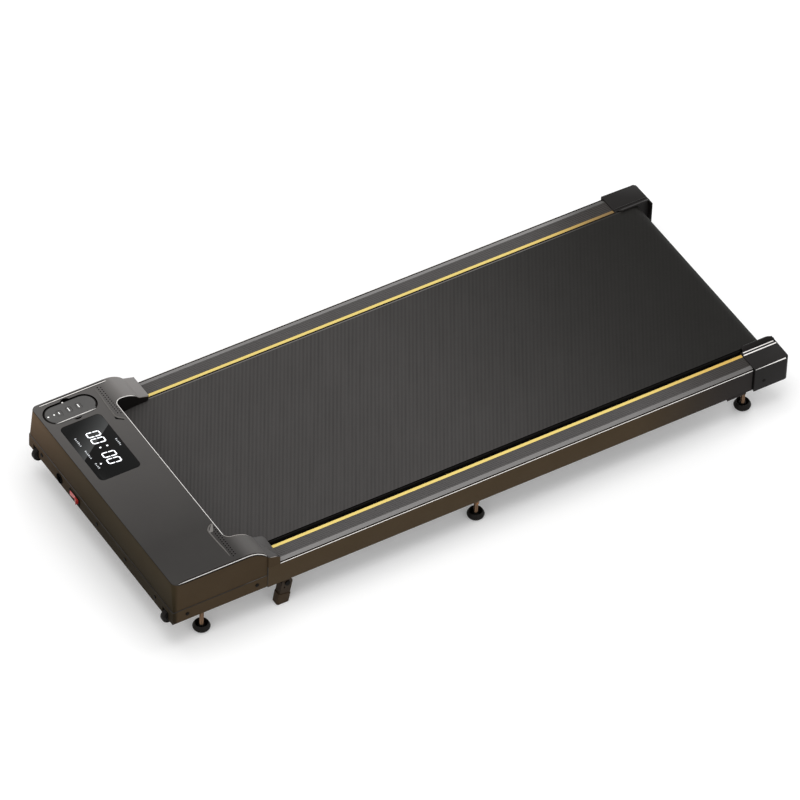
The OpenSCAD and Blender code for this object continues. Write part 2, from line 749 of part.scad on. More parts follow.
module roller_bearings() {
    r = roller_r - roller_wall - pin_gap;
    x = roller_half - bearing_w - 2;
    color("silver") both_sides() for (y = [front_roller_y, rear_roller_y]) difference() {
        x_rod(r, x, x + bearing_w, y, roller_z);
        x_rod(shaft_r + pin_gap / 2, x - 1, x + bearing_w + 1, y, roller_z);
    }
}

module roller_tube(y) {
    difference() {
        x_rod(roller_r, -roller_half, roller_half, y, roller_z, $fn = 96);
        x_rod(roller_r - roller_wall, -roller_half - 1, roller_half + 1, y, roller_z);
    }
}

module front_roller() color("silver") roller_tube(front_roller_y);

module rear_roller() color("silver") roller_tube(rear_roller_y);

// Pulley on the right end of the front roller, with a spigot in the tube and three ribs for the belt.
module front_pulley() {
    x0 = drive_x;
    color("dimgray") difference() {
        union() {
            x_rod(roller_pulley_r - 1, x0, x0 + pulley_w, front_roller_y, roller_z, $fn = 96);
            x_rod(roller_pulley_r + drive_t, x0, x0 + 0.8, front_roller_y, roller_z, $fn = 96);
            x_rod(roller_r - roller_wall - pin_gap, x0 - 1.5, x0 + 1, front_roller_y, roller_z);
            for (i = [0 : 2])
                x_rod(roller_pulley_r - run_gap, x0 + 1.6 + i * drive_w / 3, x0 + 3 + i * drive_w / 3,
                    front_roller_y, roller_z, $fn = 96);
        }
        x_rod(shaft_r + 1, x0 - 3, x0 + pulley_w + 1, front_roller_y, roller_z);
    }
}

module drive_belt() {
    color("black") along_x(drive_x + 1.2, drive_x + 1.2 + drive_w)
        belt_loop(motor_axis, motor_pulley_r, front_axis, roller_pulley_r, drive_t);
}

module motor_housing() {
    x1 = motor_end_x - flywheel_t;
    x0 = x1 - motor_l;
    color("dimgray") difference() {
        union() {
            x_rod(motor_r, x0 + 8, x1 - 8, motor_y, motor_z, $fn = 96);
            x_rod(motor_r - 3, x0, x1, motor_y, motor_z, $fn = 96);
        }
        x_rod(motor_shaft_r + pin_gap, x0 - 1, x1 + 1, motor_y, motor_z);
    }
}

// Saddle that stands on the base tray and holds the motor, with a strap over the top.
module motor_bracket() {
    x1 = motor_end_x - flywheel_t - strap_inset;
    x0 = x1 - motor_l + 2 * strap_inset;
    foot_z = tray_z + 2;
    color("gray") for (x = [x0, x1 - strap_w]) difference() {
        union() {
            block([x, motor_y - motor_r * 0.8, foot_z],
                [x + strap_w, motor_y + motor_r * 0.8, motor_z - motor_r * 0.4]);
            x_rod(motor_r + strap_t, x, x + strap_w, motor_y, motor_z, $fn = 96);
        }
        x_rod(motor_r + fit_gap / 4, x - 1, x + strap_w + 1, motor_y, motor_z, $fn = 96);
        block([x - 1, motor_y - motor_r - 4, foot_z - motor_r],
            [x + strap_w + 1, motor_y + motor_r + 4, foot_z]);
    }
}

module motor_shaft() {
    x0 = motor_end_x - flywheel_t - motor_l + 4;
    color("silver") x_rod(motor_shaft_r, x0, drive_x + pulley_w, motor_y, motor_z);
}

// Flywheel and pulley in one casting.
module motor_flywheel() {
    x0 = motor_end_x - flywheel_t + flywheel_gap;
    color("dimgray") difference() {
        union() {
            x_rod(flywheel_r, x0, x0 + flywheel_t, motor_y, motor_z, $fn = 96);
            x_rod(motor_pulley_r - 1, x0, drive_x + pulley_w, motor_y, motor_z, $fn = 96);
            for (i = [0 : 2])
                x_rod(motor_pulley_r - run_gap, drive_x + 1.6 + i * drive_w / 3, drive_x + 3 + i * drive_w / 3,
                    motor_y, motor_z, $fn = 96);
        }
        x_rod(motor_shaft_r + pin_gap / 2, x0 - 1, drive_x + pulley_w + 1, motor_y, motor_z);
    }
}

// A component on the control board: its corner and size in plan are shares of the board's.
module on_board(u, v, w, d, h)
    translate([board_x + u * board_w, board_y + v * board_d, board_z + board_t - 0.1])
        cube([w * board_w, d * board_d, h + 0.1]);

// A round component on the control board, with its centre given the same way.
module can_on_board(u, v, r, h)
    translate([board_x + u * board_w, board_y + v * board_d, board_z + board_t - 0.1])
        cylinder(r = r, h = h + 0.1);

// Control board on the tray's posts, with its larger parts.
module control_board() {
    color("darkgreen") {
        block([board_x, board_y, board_z], [board_x + board_w, board_y + board_d, board_z + board_t]);
        on_board(0.06, 0.07, 0.17, 0.3, part_h * 0.55);
        on_board(0.26, 0.07, 0.12, 0.2, part_h * 0.42);
        on_board(0.71, 0.6, 0.2, 0.33, part_h * 0.6);
        for (u = [0.13, 0.3]) can_on_board(u, 0.73, can_r, part_h);
        can_on_board(0.84, 0.3, can_r * 0.8, part_h * 0.4);
    }
}

module heat_sink() {
    x0 = board_x + 0.43 * board_w;
    y0 = board_y + 0.1 * board_d;
    y1 = board_y + 0.93 * board_d;
    z = board_z + board_t;
    fin_pitch = sink_w / (fin_count - 0.5);
    color("silver") {
        block([x0, y0, z], [x0 + sink_w, y1, z + sink_base]);
        for (i = [0 : fin_count - 1])
            block([x0 + i * fin_pitch, y0, z + sink_base - 0.5],
                [x0 + (i + 0.5) * fin_pitch, y1, z + sink_base + fin_h]);
    }
}

module power_inlet() {
    front = -tray_proud;
    color("black") difference() {
        union() {
            y_rod(inlet_r + 4, inlet_x, front - 1.2, front, entry_z);
            y_rod(inlet_r + 2.5, inlet_x, front - 0.6, front + inlet_depth + 3, entry_z);
        }
        y_rod(inlet_r, inlet_x, front - 2, front + inlet_depth - 1.2, entry_z);
    }
}

// Housing of the power switch, with a bezel in front of the tray's wall.
module switch_housing() {
    front = -tray_proud;
    w = rocker_w / 2;
    h = rocker_h / 2;
    wall = 1;
    color("black") difference() {
        union() {
            block([switch_x - w - 3, front - 1.2, entry_z - h - 2.4], [switch_x + w + 3, front, entry_z + h + 2.4]);
            block([switch_x - w - wall, front - 0.6, entry_z - h - wall],
                [switch_x + w + wall, front + 20, entry_z + h + wall]);
        }
        block([switch_x - w, front - 2, entry_z - h], [switch_x + w, front + 12, entry_z + h]);
        translate([switch_x, front + 2, entry_z - h - wall / 2])
            cylinder(r = 1.5 + pin_gap, h = rocker_h + wall);
    }
}

// Rocker: a shallow V with a pin above and below, pressed in on its left half.
module rocker_switch() {
    front = -tray_proud;
    w = rocker_w / 2 - run_gap - 0.8;
    h = rocker_h / 2 - run_gap;
    color("red") translate([switch_x, front + 2, entry_z]) rotate([0, 0, -rocker_tilt]) {
        translate([0, 0, -h]) linear_extrude(height = 2 * h)
            polygon([[-w, -4.6], [0, -2.4], [w, -4.6], [w - 1.5, 3.4], [-w + 1.5, 3.4]]);
        translate([0, 0, -rocker_h / 2 - 0.4]) cylinder(r = 1.5, h = rocker_h + 0.8);
    }
}

// Rubber foot cup on its stud, on a side frame.
module foot_cup(side, y) {
    wall = 2.6;
    color("black") on_side(side) translate([frame_mid, y, 0]) rotate_extrude() difference() {
        polygon([
            [0, 0], [foot_base_r, 0], [foot_base_r + 0.8, foot_h * 0.3], [foot_r, foot_h * 0.7],
            [foot_r, foot_h], [0, foot_h]
        ]);
        polygon([
            [stud_r + 2.5, foot_h * 0.42], [foot_base_r - wall + 0.8, foot_h * 0.42],
            [foot_r - wall, foot_h * 0.75], [foot_r - wall, foot_h + 1], [stud_r + 2.5, foot_h + 1]
        ]);
        translate([0, foot_h * 0.4]) square([stud_r + pin_gap / 2, foot_h]);
    }
}

// Stud of a foot with its lock nut, which bears on the nut of the side frame.
module foot_stud(side, y, nut_z) {
    nut_h = 5;
    color("silver") on_side(side) translate([frame_mid, y, 0]) {
        translate([0, 0, foot_h * 0.4]) cylinder(r = stud_r, h = frame_z + 12 - foot_h * 0.4);
        translate([0, 0, nut_z - nut_h]) cylinder(r = stud_r + 2.6, h = nut_h, $fn = 6);
    }
}

// Leg: a tube with two cheeks at its upper end, which turn about the bolt in the lug.
module leg(side) {
    top_cut = leg_d / 2 + 4;
    lean_shift = tan(leg_lean);
    module leg_side(grow, from_z) {
        y_low = leg_y - leg_pivot_z * lean_shift;
        polygon([
            [y_low - leg_d / 2 - grow, 0], [y_low + leg_d / 2 + grow, 0],
            [leg_y + leg_d / 2 + grow - from_z * lean_shift, leg_pivot_z - from_z],
            [leg_y - leg_d / 2 - grow - from_z * lean_shift, leg_pivot_z - from_z]
        ]);
    }
    color("dimgray") on_side(side) difference() {
        union() {
            intersection() {
                along_x(leg_x - leg_w / 2, leg_x + leg_w / 2) leg_side(0, 0);
                block([leg_x - leg_w, leg_y - 60, leg_floor_gap + 4], [leg_x + leg_w, leg_y + 60, leg_pivot_z]);
            }
            x_rod(leg_d / 2, leg_x - leg_w / 2, leg_x + leg_w / 2, leg_y, leg_pivot_z);
        }
        // Bore of the tube, and room for the lug between the cheeks, open at the rear and the top
        intersection() {
            along_x(leg_x - leg_w / 2 + leg_wall, leg_x + leg_w / 2 - leg_wall) leg_side(-leg_wall, 0);
            block([leg_x - leg_w, leg_y - 60, 0], [leg_x + leg_w, leg_y + 60, leg_pivot_z - top_cut + 1]);
        }
        block([leg_x - leg_w / 2 + leg_wall, leg_y - leg_d / 2 + 2.4, leg_pivot_z - top_cut],
            [leg_x + leg_w / 2 - leg_wall, leg_y + leg_d, leg_pivot_z + leg_d]);
        block([leg_x - leg_w / 2 + leg_wall, leg_y - leg_d, leg_pivot_z],
            [leg_x + leg_w / 2 - leg_wall, leg_y + leg_d, leg_pivot_z + leg_d]);
        x_rod(bolt_r + pin_gap, leg_x - leg_w, leg_x + leg_w, leg_y, leg_pivot_z);
        x_rod(1.6, leg_x, leg_x + leg_w, leg_y - 9.5 * lean_shift - 3.5, leg_pivot_z - 9.5);
    }
}

// Rubber cap on a leg: flat under the leg, square to its lean on top.
module leg_cap(side) {
    lean_shift = tan(leg_lean);
    y_low = leg_y - leg_pivot_z * lean_shift;
    half = leg_d / 2 + leg_cap_grow;
    h = leg_cap_h;
    tilt = half * lean_shift;
    color("black") on_side(side) difference() {
        along_x(leg_x - leg_w / 2 - leg_cap_grow, leg_x + leg_w / 2 + leg_cap_grow) polygon([
            [y_low - half + leg_floor_gap * lean_shift, leg_floor_gap],
            [y_low + half + leg_floor_gap * lean_shift, leg_floor_gap],
            [y_low + half + (h - tilt) * lean_shift, h - tilt],
            [y_low - half + (h + tilt) * lean_shift, h + tilt]
        ]);
        // Socket for the tube
        along_x(leg_x - leg_w / 2 - pin_gap, leg_x + leg_w / 2 + pin_gap) polygon([
            [y_low - leg_d / 2 - pin_gap + (leg_floor_gap + 4) * lean_shift, leg_floor_gap + 4],
            [y_low + leg_d / 2 + pin_gap + (leg_floor_gap + 4) * lean_shift, leg_floor_gap + 4],
            [y_low + leg_d / 2 + pin_gap + (h + 9) * lean_shift, h + 9],
            [y_low - leg_d / 2 - pin_gap + (h + 9) * lean_shift, h + 9]
        ]);
    }
}

// Bolts that the legs and the wheels turn on.
module pivot_bolts() {
    color("silver") both_sides() {
        x_rod(bolt_r, leg_x - leg_w / 2 - 1.5, leg_x + leg_w / 2 + bolt_head_t, leg_y, leg_pivot_z);
        x_rod(bolt_r + 2, leg_x + leg_w / 2 + fit_gap, leg_x + leg_w / 2 + bolt_head_t, leg_y, leg_pivot_z);
        x_rod(bolt_r, wheel_x - wheel_w / 2 - fork_t - 1, wheel_x + wheel_w / 2 + fork_t + bolt_head_t,
            wheel_y, wheel_z);
        x_rod(bolt_r + 2, wheel_x + wheel_w / 2 + fork_t + run_gap, wheel_x + wheel_w / 2 + fork_t + bolt_head_t,
            wheel_y, wheel_z);
    }
}

module wheel(side) {
    w = wheel_w / 2;
    color("black") on_side(side) translate([wheel_x, wheel_y, wheel_z]) rotate([0, 90, 0])
        rotate_extrude($fn = 72) polygon([
            [bolt_r + pin_gap, -w], [wheel_r * 0.55, -w], [wheel_r * 0.6, -w + 1], [wheel_r - 3, -w + 1],
            [wheel_r - 2.4, -w], [wheel_r - 1, -w], [wheel_r, -w + 1], [wheel_r, w - 1], [wheel_r - 1, w],
            [wheel_r - 2.4, w], [wheel_r - 3, w - 1], [wheel_r * 0.6, w - 1], [wheel_r * 0.55, w],
            [bolt_r + pin_gap, w]
        ]);
}

module tension_bolts() {
    y1 = body_length - cap_wall - 4;
    color("silver") both_sides() {
        y_rod(bolt_r, frame_mid, rear_roller_y - 9, y1 + 1, roller_z);
        translate([frame_mid, y1 + 3.5, roller_z]) rotate([90, 0, 0]) cylinder(r = 6, h = 3.5, $fn = 6);
    }
}

// Screws of the tray's front and sides, and of the end caps.
module cover_screws() {
    head_t = 1.2;
    front = -tray_proud;
    color("black") {
        for (x = front_screw_xs) {
            y_rod(screw_r, x, front - head_t, front, screw_z);
            y_rod(screw_shank_r, x, front - 0.2, front + 8, screw_z);
        }
        both_sides() {
            for (y = side_screw_ys) {
                x_rod(screw_r, tray_half, tray_half + head_t, y, screw_z);
                x_rod(screw_shank_r, tray_half - 4, tray_half + 0.2, y, screw_z);
            }
            x_rod(screw_r, cap_out, cap_out + head_t - 1, cap_y + 20.5, cap_z + 18);
            x_rod(screw_shank_r, frame_out - frame_wall - 1, cap_out + 0.1, cap_y + 20.5, cap_z + 18);
        }
    }
}

// Remote control: an upper shell with pockets for the keys, and a back.
module remote_body() {
    color("dimgray") translate([remote_x, remote_y, remote_z]) difference() {
        translate([0, 0, remote_back_t]) linear_extrude(height = remote_t - remote_back_t)
            pill(remote_r, remote_l);
        translate([0, 0, -1]) linear_extrude(height = remote_t - 1.5 - key_t)
            pill(remote_r - remote_wall, remote_l - 2 * remote_wall);
        for (y = key_y) translate([0, y, remote_t - key_t - key_travel - 0.3])
            linear_extrude(height = key_t + key_travel + 1)
                round_rect(key_w + 2 * run_gap, key_d + 2 * run_gap, 3 + run_gap);
    }
}

module remote_back() {
    color("dimgray") translate([remote_x, remote_y, remote_z]) {
        linear_extrude(height = remote_back_t) pill(remote_r, remote_l);
        translate([0, 0, remote_back_t - 0.2]) linear_extrude(height = 2) difference() {
            pill(remote_r - remote_wall - fit_gap, remote_l - 2 * remote_wall - 2 * fit_gap);
            pill(remote_r - 2 * remote_wall, remote_l - 4 * remote_wall);
        }
    }
}

module remote_key(index) {
    color("dimgray") translate([remote_x, remote_y + key_y[index], remote_z + remote_t - key_t])
        linear_extrude(height = key_t) round_rect(key_w, key_d, 3);
}

placed() side_frame(left);  // side_frame_left
placed() side_frame(right);  // side_frame_right
placed() cross_tubes();
placed() base_tray();
placed() hood_cover();
placed() remote_bay();
placed() shoulder(left);  // shoulder_left
placed() shoulder(right);  // shoulder_right
placed() rail_cover(left);  // rail_cover_left
placed() rail_cover(right);  // rail_cover_right
placed() trim_strip(left);  // trim_strip_left
placed() trim_strip(right);  // trim_strip_right
placed() end_cap(left);  // end_cap_left
placed() end_cap(right);  // end_cap_right
placed() display_window();
placed() display_board();
placed() deck_board();
placed() deck_cushions();
placed() running_belt();
placed() roller_shafts();
placed() roller_bearings();
placed() front_roller();
placed() front_pulley();
placed() rear_roller();
placed() tension_bolts();
placed() motor_housing();
placed() motor_bracket();
placed() motor_shaft();
placed() motor_flywheel();
placed() drive_belt();
placed() control_board();
placed() heat_sink();
placed() power_inlet();
placed() switch_housing();
placed() rocker_switch();
placed() foot_cup(left, foot_front_y);  // foot_cup_front_left
placed() foot_cup(right, foot_front_y);  // foot_cup_front_right
placed() foot_cup(left, foot_mid_y);  // foot_cup_mid_left
placed() foot_cup(right, foot_mid_y);  // foot_cup_mid_right
placed() foot_cup(left, foot_rear_y);  // foot_cup_rear_left
placed() foot_cup(right, foot_rear_y);  // foot_cup_rear_right
placed() foot_stud(left, foot_front_y, frame_z - 5);  // foot_stud_front_left
placed() foot_stud(right, foot_front_y, frame_z - 5);  // foot_stud_front_right
placed() foot_stud(left, foot_mid_y, frame_z - 5);  // foot_stud_mid_left
placed() foot_stud(right, foot_mid_y, frame_z - 5);  // foot_stud_mid_right
placed() foot_stud(left, foot_rear_y, frame_z - 17);  // foot_stud_rear_left
placed() foot_stud(right, foot_rear_y, frame_z - 17);  // foot_stud_rear_right
placed() leg(left);  // leg_left
placed() leg(right);  // leg_right
placed() leg_cap(left);  // leg_cap_left
placed() leg_cap(right);  // leg_cap_right
placed() pivot_bolts();
placed() wheel(left);  // wheel_left
placed() wheel(right);  // wheel_right
placed() cover_screws();
placed() remote_body();
placed() remote_back();
placed() remote_key(0);  // mode_key
placed() remote_key(1);  // faster_key
placed() remote_key(2);  // slower_key
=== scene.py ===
"""A walking pad, dressed for looking at.

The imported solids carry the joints. This script gives the pad its visible surfaces: softened edges,
moulded and woven textures, vents, screw recesses, threads and markings. Sizes are in millimetres
in the pad's own layout (x across, y behind the hood's front face, z above the floor) until a mesh is
made, where they turn into metres in the model's frame.
"""

from __future__ import annotations

import logging
import math
from dataclasses import dataclass
from enum import Enum
from typing import Any, Callable, Iterable, Sequence

import bmesh
import bpy
import numpy as np
from mathutils import Matrix, Vector
from mathutils.geometry import delaunay_2d_cdt

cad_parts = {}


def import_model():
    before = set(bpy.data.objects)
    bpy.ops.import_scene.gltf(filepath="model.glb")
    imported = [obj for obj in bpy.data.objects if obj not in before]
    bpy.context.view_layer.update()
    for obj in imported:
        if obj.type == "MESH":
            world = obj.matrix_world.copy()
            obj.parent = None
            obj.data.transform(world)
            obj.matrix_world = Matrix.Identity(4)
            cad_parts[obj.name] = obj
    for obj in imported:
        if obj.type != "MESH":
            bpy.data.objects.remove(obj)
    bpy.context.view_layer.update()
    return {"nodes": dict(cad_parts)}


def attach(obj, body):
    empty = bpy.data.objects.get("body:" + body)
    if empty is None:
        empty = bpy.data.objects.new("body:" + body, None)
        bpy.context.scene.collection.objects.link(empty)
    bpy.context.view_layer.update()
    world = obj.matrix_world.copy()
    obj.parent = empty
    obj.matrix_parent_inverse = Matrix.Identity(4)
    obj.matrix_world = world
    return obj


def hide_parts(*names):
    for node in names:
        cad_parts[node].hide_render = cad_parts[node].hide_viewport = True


LOG = logging.getLogger("walking_pad")
Array = np.ndarray
MM = 0.001
FRONT_Y = -615.5  # the hood's front face in the model's frame, in millimetres
LEFT, RIGHT = -1, 1
SIDES = ((LEFT, "left"), (RIGHT, "right"))
Tree = bpy.types.NodeTree
Socket = bpy.types.NodeSocket
Tint = Callable[[Tree, Socket, Socket], Socket]
FaceTest = Callable[[Array, Array], Array]
FAR = 1e6  # beyond everything, in millimetres


class Body(Enum):
    """The bodies that most pieces ride on; those of feet, legs, wheels and keys are named after them."""

    PAD = "pad"
    ROCKER = "power_rocker"
    REMOTE = "remote"


class Grain(Enum):
    """How a surface was made, which sets the form of its relief."""

    MOULDED = "moulded"
    BRUSHED_X = "brushed along x"
    BRUSHED_Y = "brushed along y"
    TURNED_X = "turned about x"
    SPRAYED = "sprayed"
    EMBOSSED = "embossed weave"
    POLISHED = "polished"


# ---------------------------------------------------------------- colour and finishes


def linear(colour: str) -> tuple[float, float, float, float]:
    """Turn an sRGB hex colour into linear light.

    Args:
        colour: six hex digits, such as "3f3d3b".

    Returns:
        Red, green, blue and an alpha of one.
    """
    parts = np.array([int(colour[i : i + 2], 16) for i in (0, 2, 4)]) / 255.0
    light = np.where(parts <= 0.04045, parts / 12.92, ((parts + 0.055) / 1.055) ** 2.4)
    return (*(float(v) for v in light), 1.0)


def add_node(tree: Tree, kind: str, links: dict[Any, Any] | None = None, **settings: Any) -> bpy.types.Node:
    """Add a shader node with its settings and links.

    Args:
        tree: the node tree to add to.
        kind: the node's type, such as "ShaderNodeTexNoise".
        links: input name or number to an output socket, or to a plain value.
        settings: properties of the node itself.

    Returns:
        The new node.
    """
    made = tree.nodes.new(kind)
    for key, value in settings.items():
        setattr(made, key, value)
    for key, value in (links or {}).items():
        if isinstance(value, bpy.types.NodeSocket):
            tree.links.new(value, made.inputs[key])
        else:
            made.inputs[key].default_value = value
    return made


def compute(tree: Tree, operation: str, *values: Any) -> Socket:
    """Do one step of arithmetic on sockets or numbers, and return its result."""
    return add_node(tree, "ShaderNodeMath", dict(enumerate(values)), operation=operation).outputs[0]


def mix(tree: Tree, share: Any, first: Any, second: Any) -> Socket:
    """Mix two colours, with the share of the second between nought and one."""
    return add_node(
        tree, "ShaderNodeMix", {"Factor": share, "A": first, "B": second}, data_type="RGBA"
    ).outputs[2]


def ramp(
    tree: Tree, value: Socket, start: float, end: float, low: float = 0.0, high: float = 1.0, smooth: bool = False
) -> Socket:
    """Map a value between start and end to low and high, and hold it beyond both."""
    ends = {"Value": value, "From Min": start, "From Max": end, "To Min": low, "To Max": high}
    kind = "SMOOTHSTEP" if smooth else "LINEAR"
    return add_node(tree, "ShaderNodeMapRange", ends, interpolation_type=kind).outputs["Result"]


def axes(tree: Tree, place: Socket) -> Sequence[Socket]:
    """The x, y and z of a place."""
    return add_node(tree, "ShaderNodeSeparateXYZ", {"Vector": place}).outputs


def y_at(y: float) -> float:
    """A y of the pad's layout, in metres of the model's frame."""
    return (y + FRONT_Y) * MM


@dataclass(frozen=True)
class Finish:
    """A surface as its maker would name it, with the look that it gives.

    Sizes are real ones in millimetres: ``grain_mm`` is the pitch of the relief and ``patch_mm`` the
    width of the slow colour patches. ``relief_mm`` is the height of the relief.
    """

    name: str
    colour: str
    second: str
    roughness: float
    grain: Grain = Grain.MOULDED
    grain_mm: float = 0.8
    relief_mm: float = 0.02
    patch_mm: float = 60.0
    metallic: float = 0.0
    ior: float = 1.5
    specular: float = 0.5
    coat: float = 0.0
    glow: float = 0.0
    spread: float = 0.06
    tint: Tint | None = None

    def build(self) -> bpy.types.Material:
        """Make the material, or return the one that was made before."""
        known = bpy.data.materials.get(self.name)
        if known is not None:
            return known
        material = bpy.data.materials.new(self.name)
        material.use_nodes = True
        tree = material.node_tree
        shader = tree.nodes["Principled BSDF"]
        place = add_node(tree, "ShaderNodeTexCoord").outputs["Object"]
        broad = {"Vector": place, "Scale": 1 / (self.patch_mm * MM), "Detail": 5.0, "Roughness": 0.62}
        patches = add_node(tree, "ShaderNodeTexNoise", broad).outputs["Fac"]
        colour = mix(tree, patches, linear(self.colour), linear(self.second))
        if self.tint is not None:
            colour = self.tint(tree, place, colour)
        tree.links.new(colour, shader.inputs["Base Color"])
        fine = self._relief(tree, place)
        low, high = max(0.02, self.roughness - self.spread), min(1.0, self.roughness + self.spread)
        rough = ramp(tree, patches, 0.0, 1.0, low, high)
        tree.links.new(rough, shader.inputs["Roughness"])
        if self.relief_mm > 0:
            height = {"Height": fine, "Distance": self.relief_mm * MM, "Strength": 1.0}
            bump = add_node(tree, "ShaderNodeBump", height)
            tree.links.new(bump.outputs["Normal"], shader.inputs["Normal"])
        shader.inputs["Metallic"].default_value = self.metallic
        shader.inputs["Specular IOR Level"].default_value = self.specular
        if self.metallic < 0.5:
            shader.inputs["IOR"].default_value = self.ior
        if self.coat:
            shader.inputs["Coat Weight"].default_value = self.coat
            shader.inputs["Coat Roughness"].default_value = 0.06
        if self.glow:
            shader.inputs["Emission Color"].default_value = linear(self.colour)
            shader.inputs["Emission Strength"].default_value = self.glow
        return material

    def _relief(self, tree: Tree, place: Socket) -> Socket:
        """Make the height pattern of the finish.

        Args:
            tree: the material's node tree.
            place: the piece's own coordinates, in metres.

        Returns:
            The socket that carries the height.
        """
        if self.grain is Grain.EMBOSSED:
            return woven(tree, place, self.grain_mm)
        pitch = 1 / (self.grain_mm * MM)
        if self.grain is Grain.MOULDED:
            cells = {"Vector": place, "Scale": pitch, "Randomness": 1.0}
            return add_node(tree, "ShaderNodeTexVoronoi", cells, feature="SMOOTH_F1").outputs["Distance"]
        # A line of scratches is twenty to forty times as long as it is wide.
        along = {
            Grain.BRUSHED_X: (0.025, 1.0, 1.0),
            Grain.BRUSHED_Y: (1.0, 0.025, 1.0),
            Grain.TURNED_X: (1.0, 0.05, 0.05),
        }.get(self.grain)
        noise = {"Vector": place, "Scale": pitch, "Detail": 3.0 if along else 1.0}
        if along:
            turned = add_node(tree, "ShaderNodeMapping", {"Vector": place, "Scale": along})
            noise["Vector"] = turned.outputs["Vector"]
        elif self.grain is Grain.SPRAYED:
            noise.update({"Detail": 2.0, "Roughness": 0.4})
        return add_node(tree, "ShaderNodeTexNoise", noise).outputs["Fac"]


def woven(tree: Tree, place: Socket, pitch_mm: float) -> Socket:
    """Height of a rolled-in weave: short ridges along x and along y take turns, like a basket.

    With u = 2 pi x / p and v = 2 pi y / p, the height is the larger of cos(u) cos(v / 2) and
    sin(v) sin(u / 2).
    """
    x, y, _ = axes(tree, place)
    turn = 2 * math.pi / (pitch_mm * MM)
    u, v = compute(tree, "MULTIPLY", x, turn), compute(tree, "MULTIPLY", y, turn)
    half_u, half_v = compute(tree, "MULTIPLY", u, 0.5), compute(tree, "MULTIPLY", v, 0.5)
    first = compute(tree, "MULTIPLY", compute(tree, "COSINE", u), compute(tree, "COSINE", half_v))
    other = compute(tree, "MULTIPLY", compute(tree, "SINE", v), compute(tree, "SINE", half_u))
    return compute(tree, "MAXIMUM", first, other)


def fade_y(start: float, end: float, goal: str, before: Tint | None = None) -> Tint:
    """A tint that turns a colour into another along the pad.

    Args:
        start: where the change begins, as a y of the pad's layout in millimetres.
        end: where the change is done.
        goal: the sRGB colour at the end.
        before: a tint that is laid on first.

    Returns:
        The tint.
    """

    def tint(tree: Tree, place: Socket, colour: Socket) -> Socket:
        """Mix the goal in along y."""
        first = before(tree, place, colour) if before else colour
        share = ramp(tree, axes(tree, place)[1], y_at(start), y_at(end), smooth=True)
        return mix(tree, share, first, linear(goal))

    return tint


def belt_painted_shade(tree: Tree, place: Socket, colour: Socket) -> Socket:
    """The belt is paler at the front and darker towards the rear roller, as painted shade.

    The weave's ribs run at 31 degrees to x, 6.6 mm apart. With q across the ribs and s along them, the valleys are
    darkened by 0.5 + 0.3 cos(2 pi q / 6.6 mm) times a noise that is stretched along s.
    """
    x, y, _ = axes(tree, place)
    rib_angle, rib_pitch = math.radians(31), 6.6 * MM
    wide, long = 9 * MM, 160 * MM
    c, d = math.cos(rib_angle), math.sin(rib_angle)
    across = compute(tree, "ADD", compute(tree, "MULTIPLY", x, d), compute(tree, "MULTIPLY", y, c))
    along = compute(tree, "SUBTRACT", compute(tree, "MULTIPLY", x, c), compute(tree, "MULTIPLY", y, d))
    wave = compute(tree, "COSINE", compute(tree, "MULTIPLY", across, 2 * math.pi / rib_pitch))
    ends = {"X": compute(tree, "MULTIPLY", across, 1 / wide), "Y": compute(tree, "MULTIPLY", along, 1 / long)}
    stretched = add_node(tree, "ShaderNodeCombineXYZ", ends).outputs["Vector"]
    noise = add_node(tree, "ShaderNodeTexNoise", {"Vector": stretched, "Scale": 1.0, "Detail": 3.0}).outputs["Fac"]
    valley_dark = compute(tree, "ADD", compute(tree, "MULTIPLY", wave, 0.3), 0.5)
    share = compute(tree, "MULTIPLY", compute(tree, "MULTIPLY", valley_dark, noise), 0.62)
    # The fade along y is painted shade, darker towards the rear roller.
    return mix(tree, share, fade_y(520, 1200, "1b1a18")(tree, place, colour), linear("0d0c0c"))


def wall_painted_light(tree: Tree, place: Socket, colour: Socket) -> Socket:
    """Painted light on the front wall: tan at the left end, deepening to the right and towards the floor.

    The share of the tan is t^2.6, with t the run towards the left end, and the level rises in a line
    from 0.56 at z = 75 to 1.15 at z = 135.
    """
    x, y, z = axes(tree, place)
    run = ramp(tree, x, 0.06, -0.24)
    front = ramp(tree, y, y_at(9), y_at(3))
    level = ramp(tree, z, 0.075, 0.135, 0.56, 1.15)
    deep = mix(tree, compute(tree, "POWER", run, 2.6), linear("322a1c"), linear("604e3c"))
    shade = add_node(tree, "ShaderNodeVectorMath", {0: deep, "Scale": level}, operation="SCALE").outputs["Vector"]
    return mix(tree, front, colour, shade)


def sheen_run(tree: Tree, place: Socket, most: float = 1.0) -> Socket:
    """How far a place lies towards the left end, where a painted sheen makes the hood paler."""
    return ramp(tree, axes(tree, place)[0], 0.15, -0.25, 0.0, most)


def roof_painted_sheen(tree: Tree, place: Socket, colour: Socket) -> Socket:
    """A painted sheen makes the roof paler towards its left end, most on the left wing, and a little on the right wing.
    """
    y = axes(tree, place)[1]
    back = ramp(tree, y, y_at(133), y_at(158))
    wing = ramp(tree, y, y_at(130), y_at(156), 0.0, 0.3, smooth=True)
    sheen_share = compute(tree, "ADD", compute(tree, "MULTIPLY", back, 0.56), 0.37)
    share = compute(tree, "MAXIMUM", compute(tree, "MULTIPLY", sheen_run(tree, place), sheen_share), wing)
    return mix(tree, share, colour, linear(SHEEN_ABS))


def shoulder_painted_sheen(tree: Tree, place: Socket, colour: Socket) -> Socket:
    """A painted sheen makes the left shoulder paler than the right one."""
    return mix(tree, sheen_run(tree, place, 0.95), colour, linear(SHEEN_ABS))


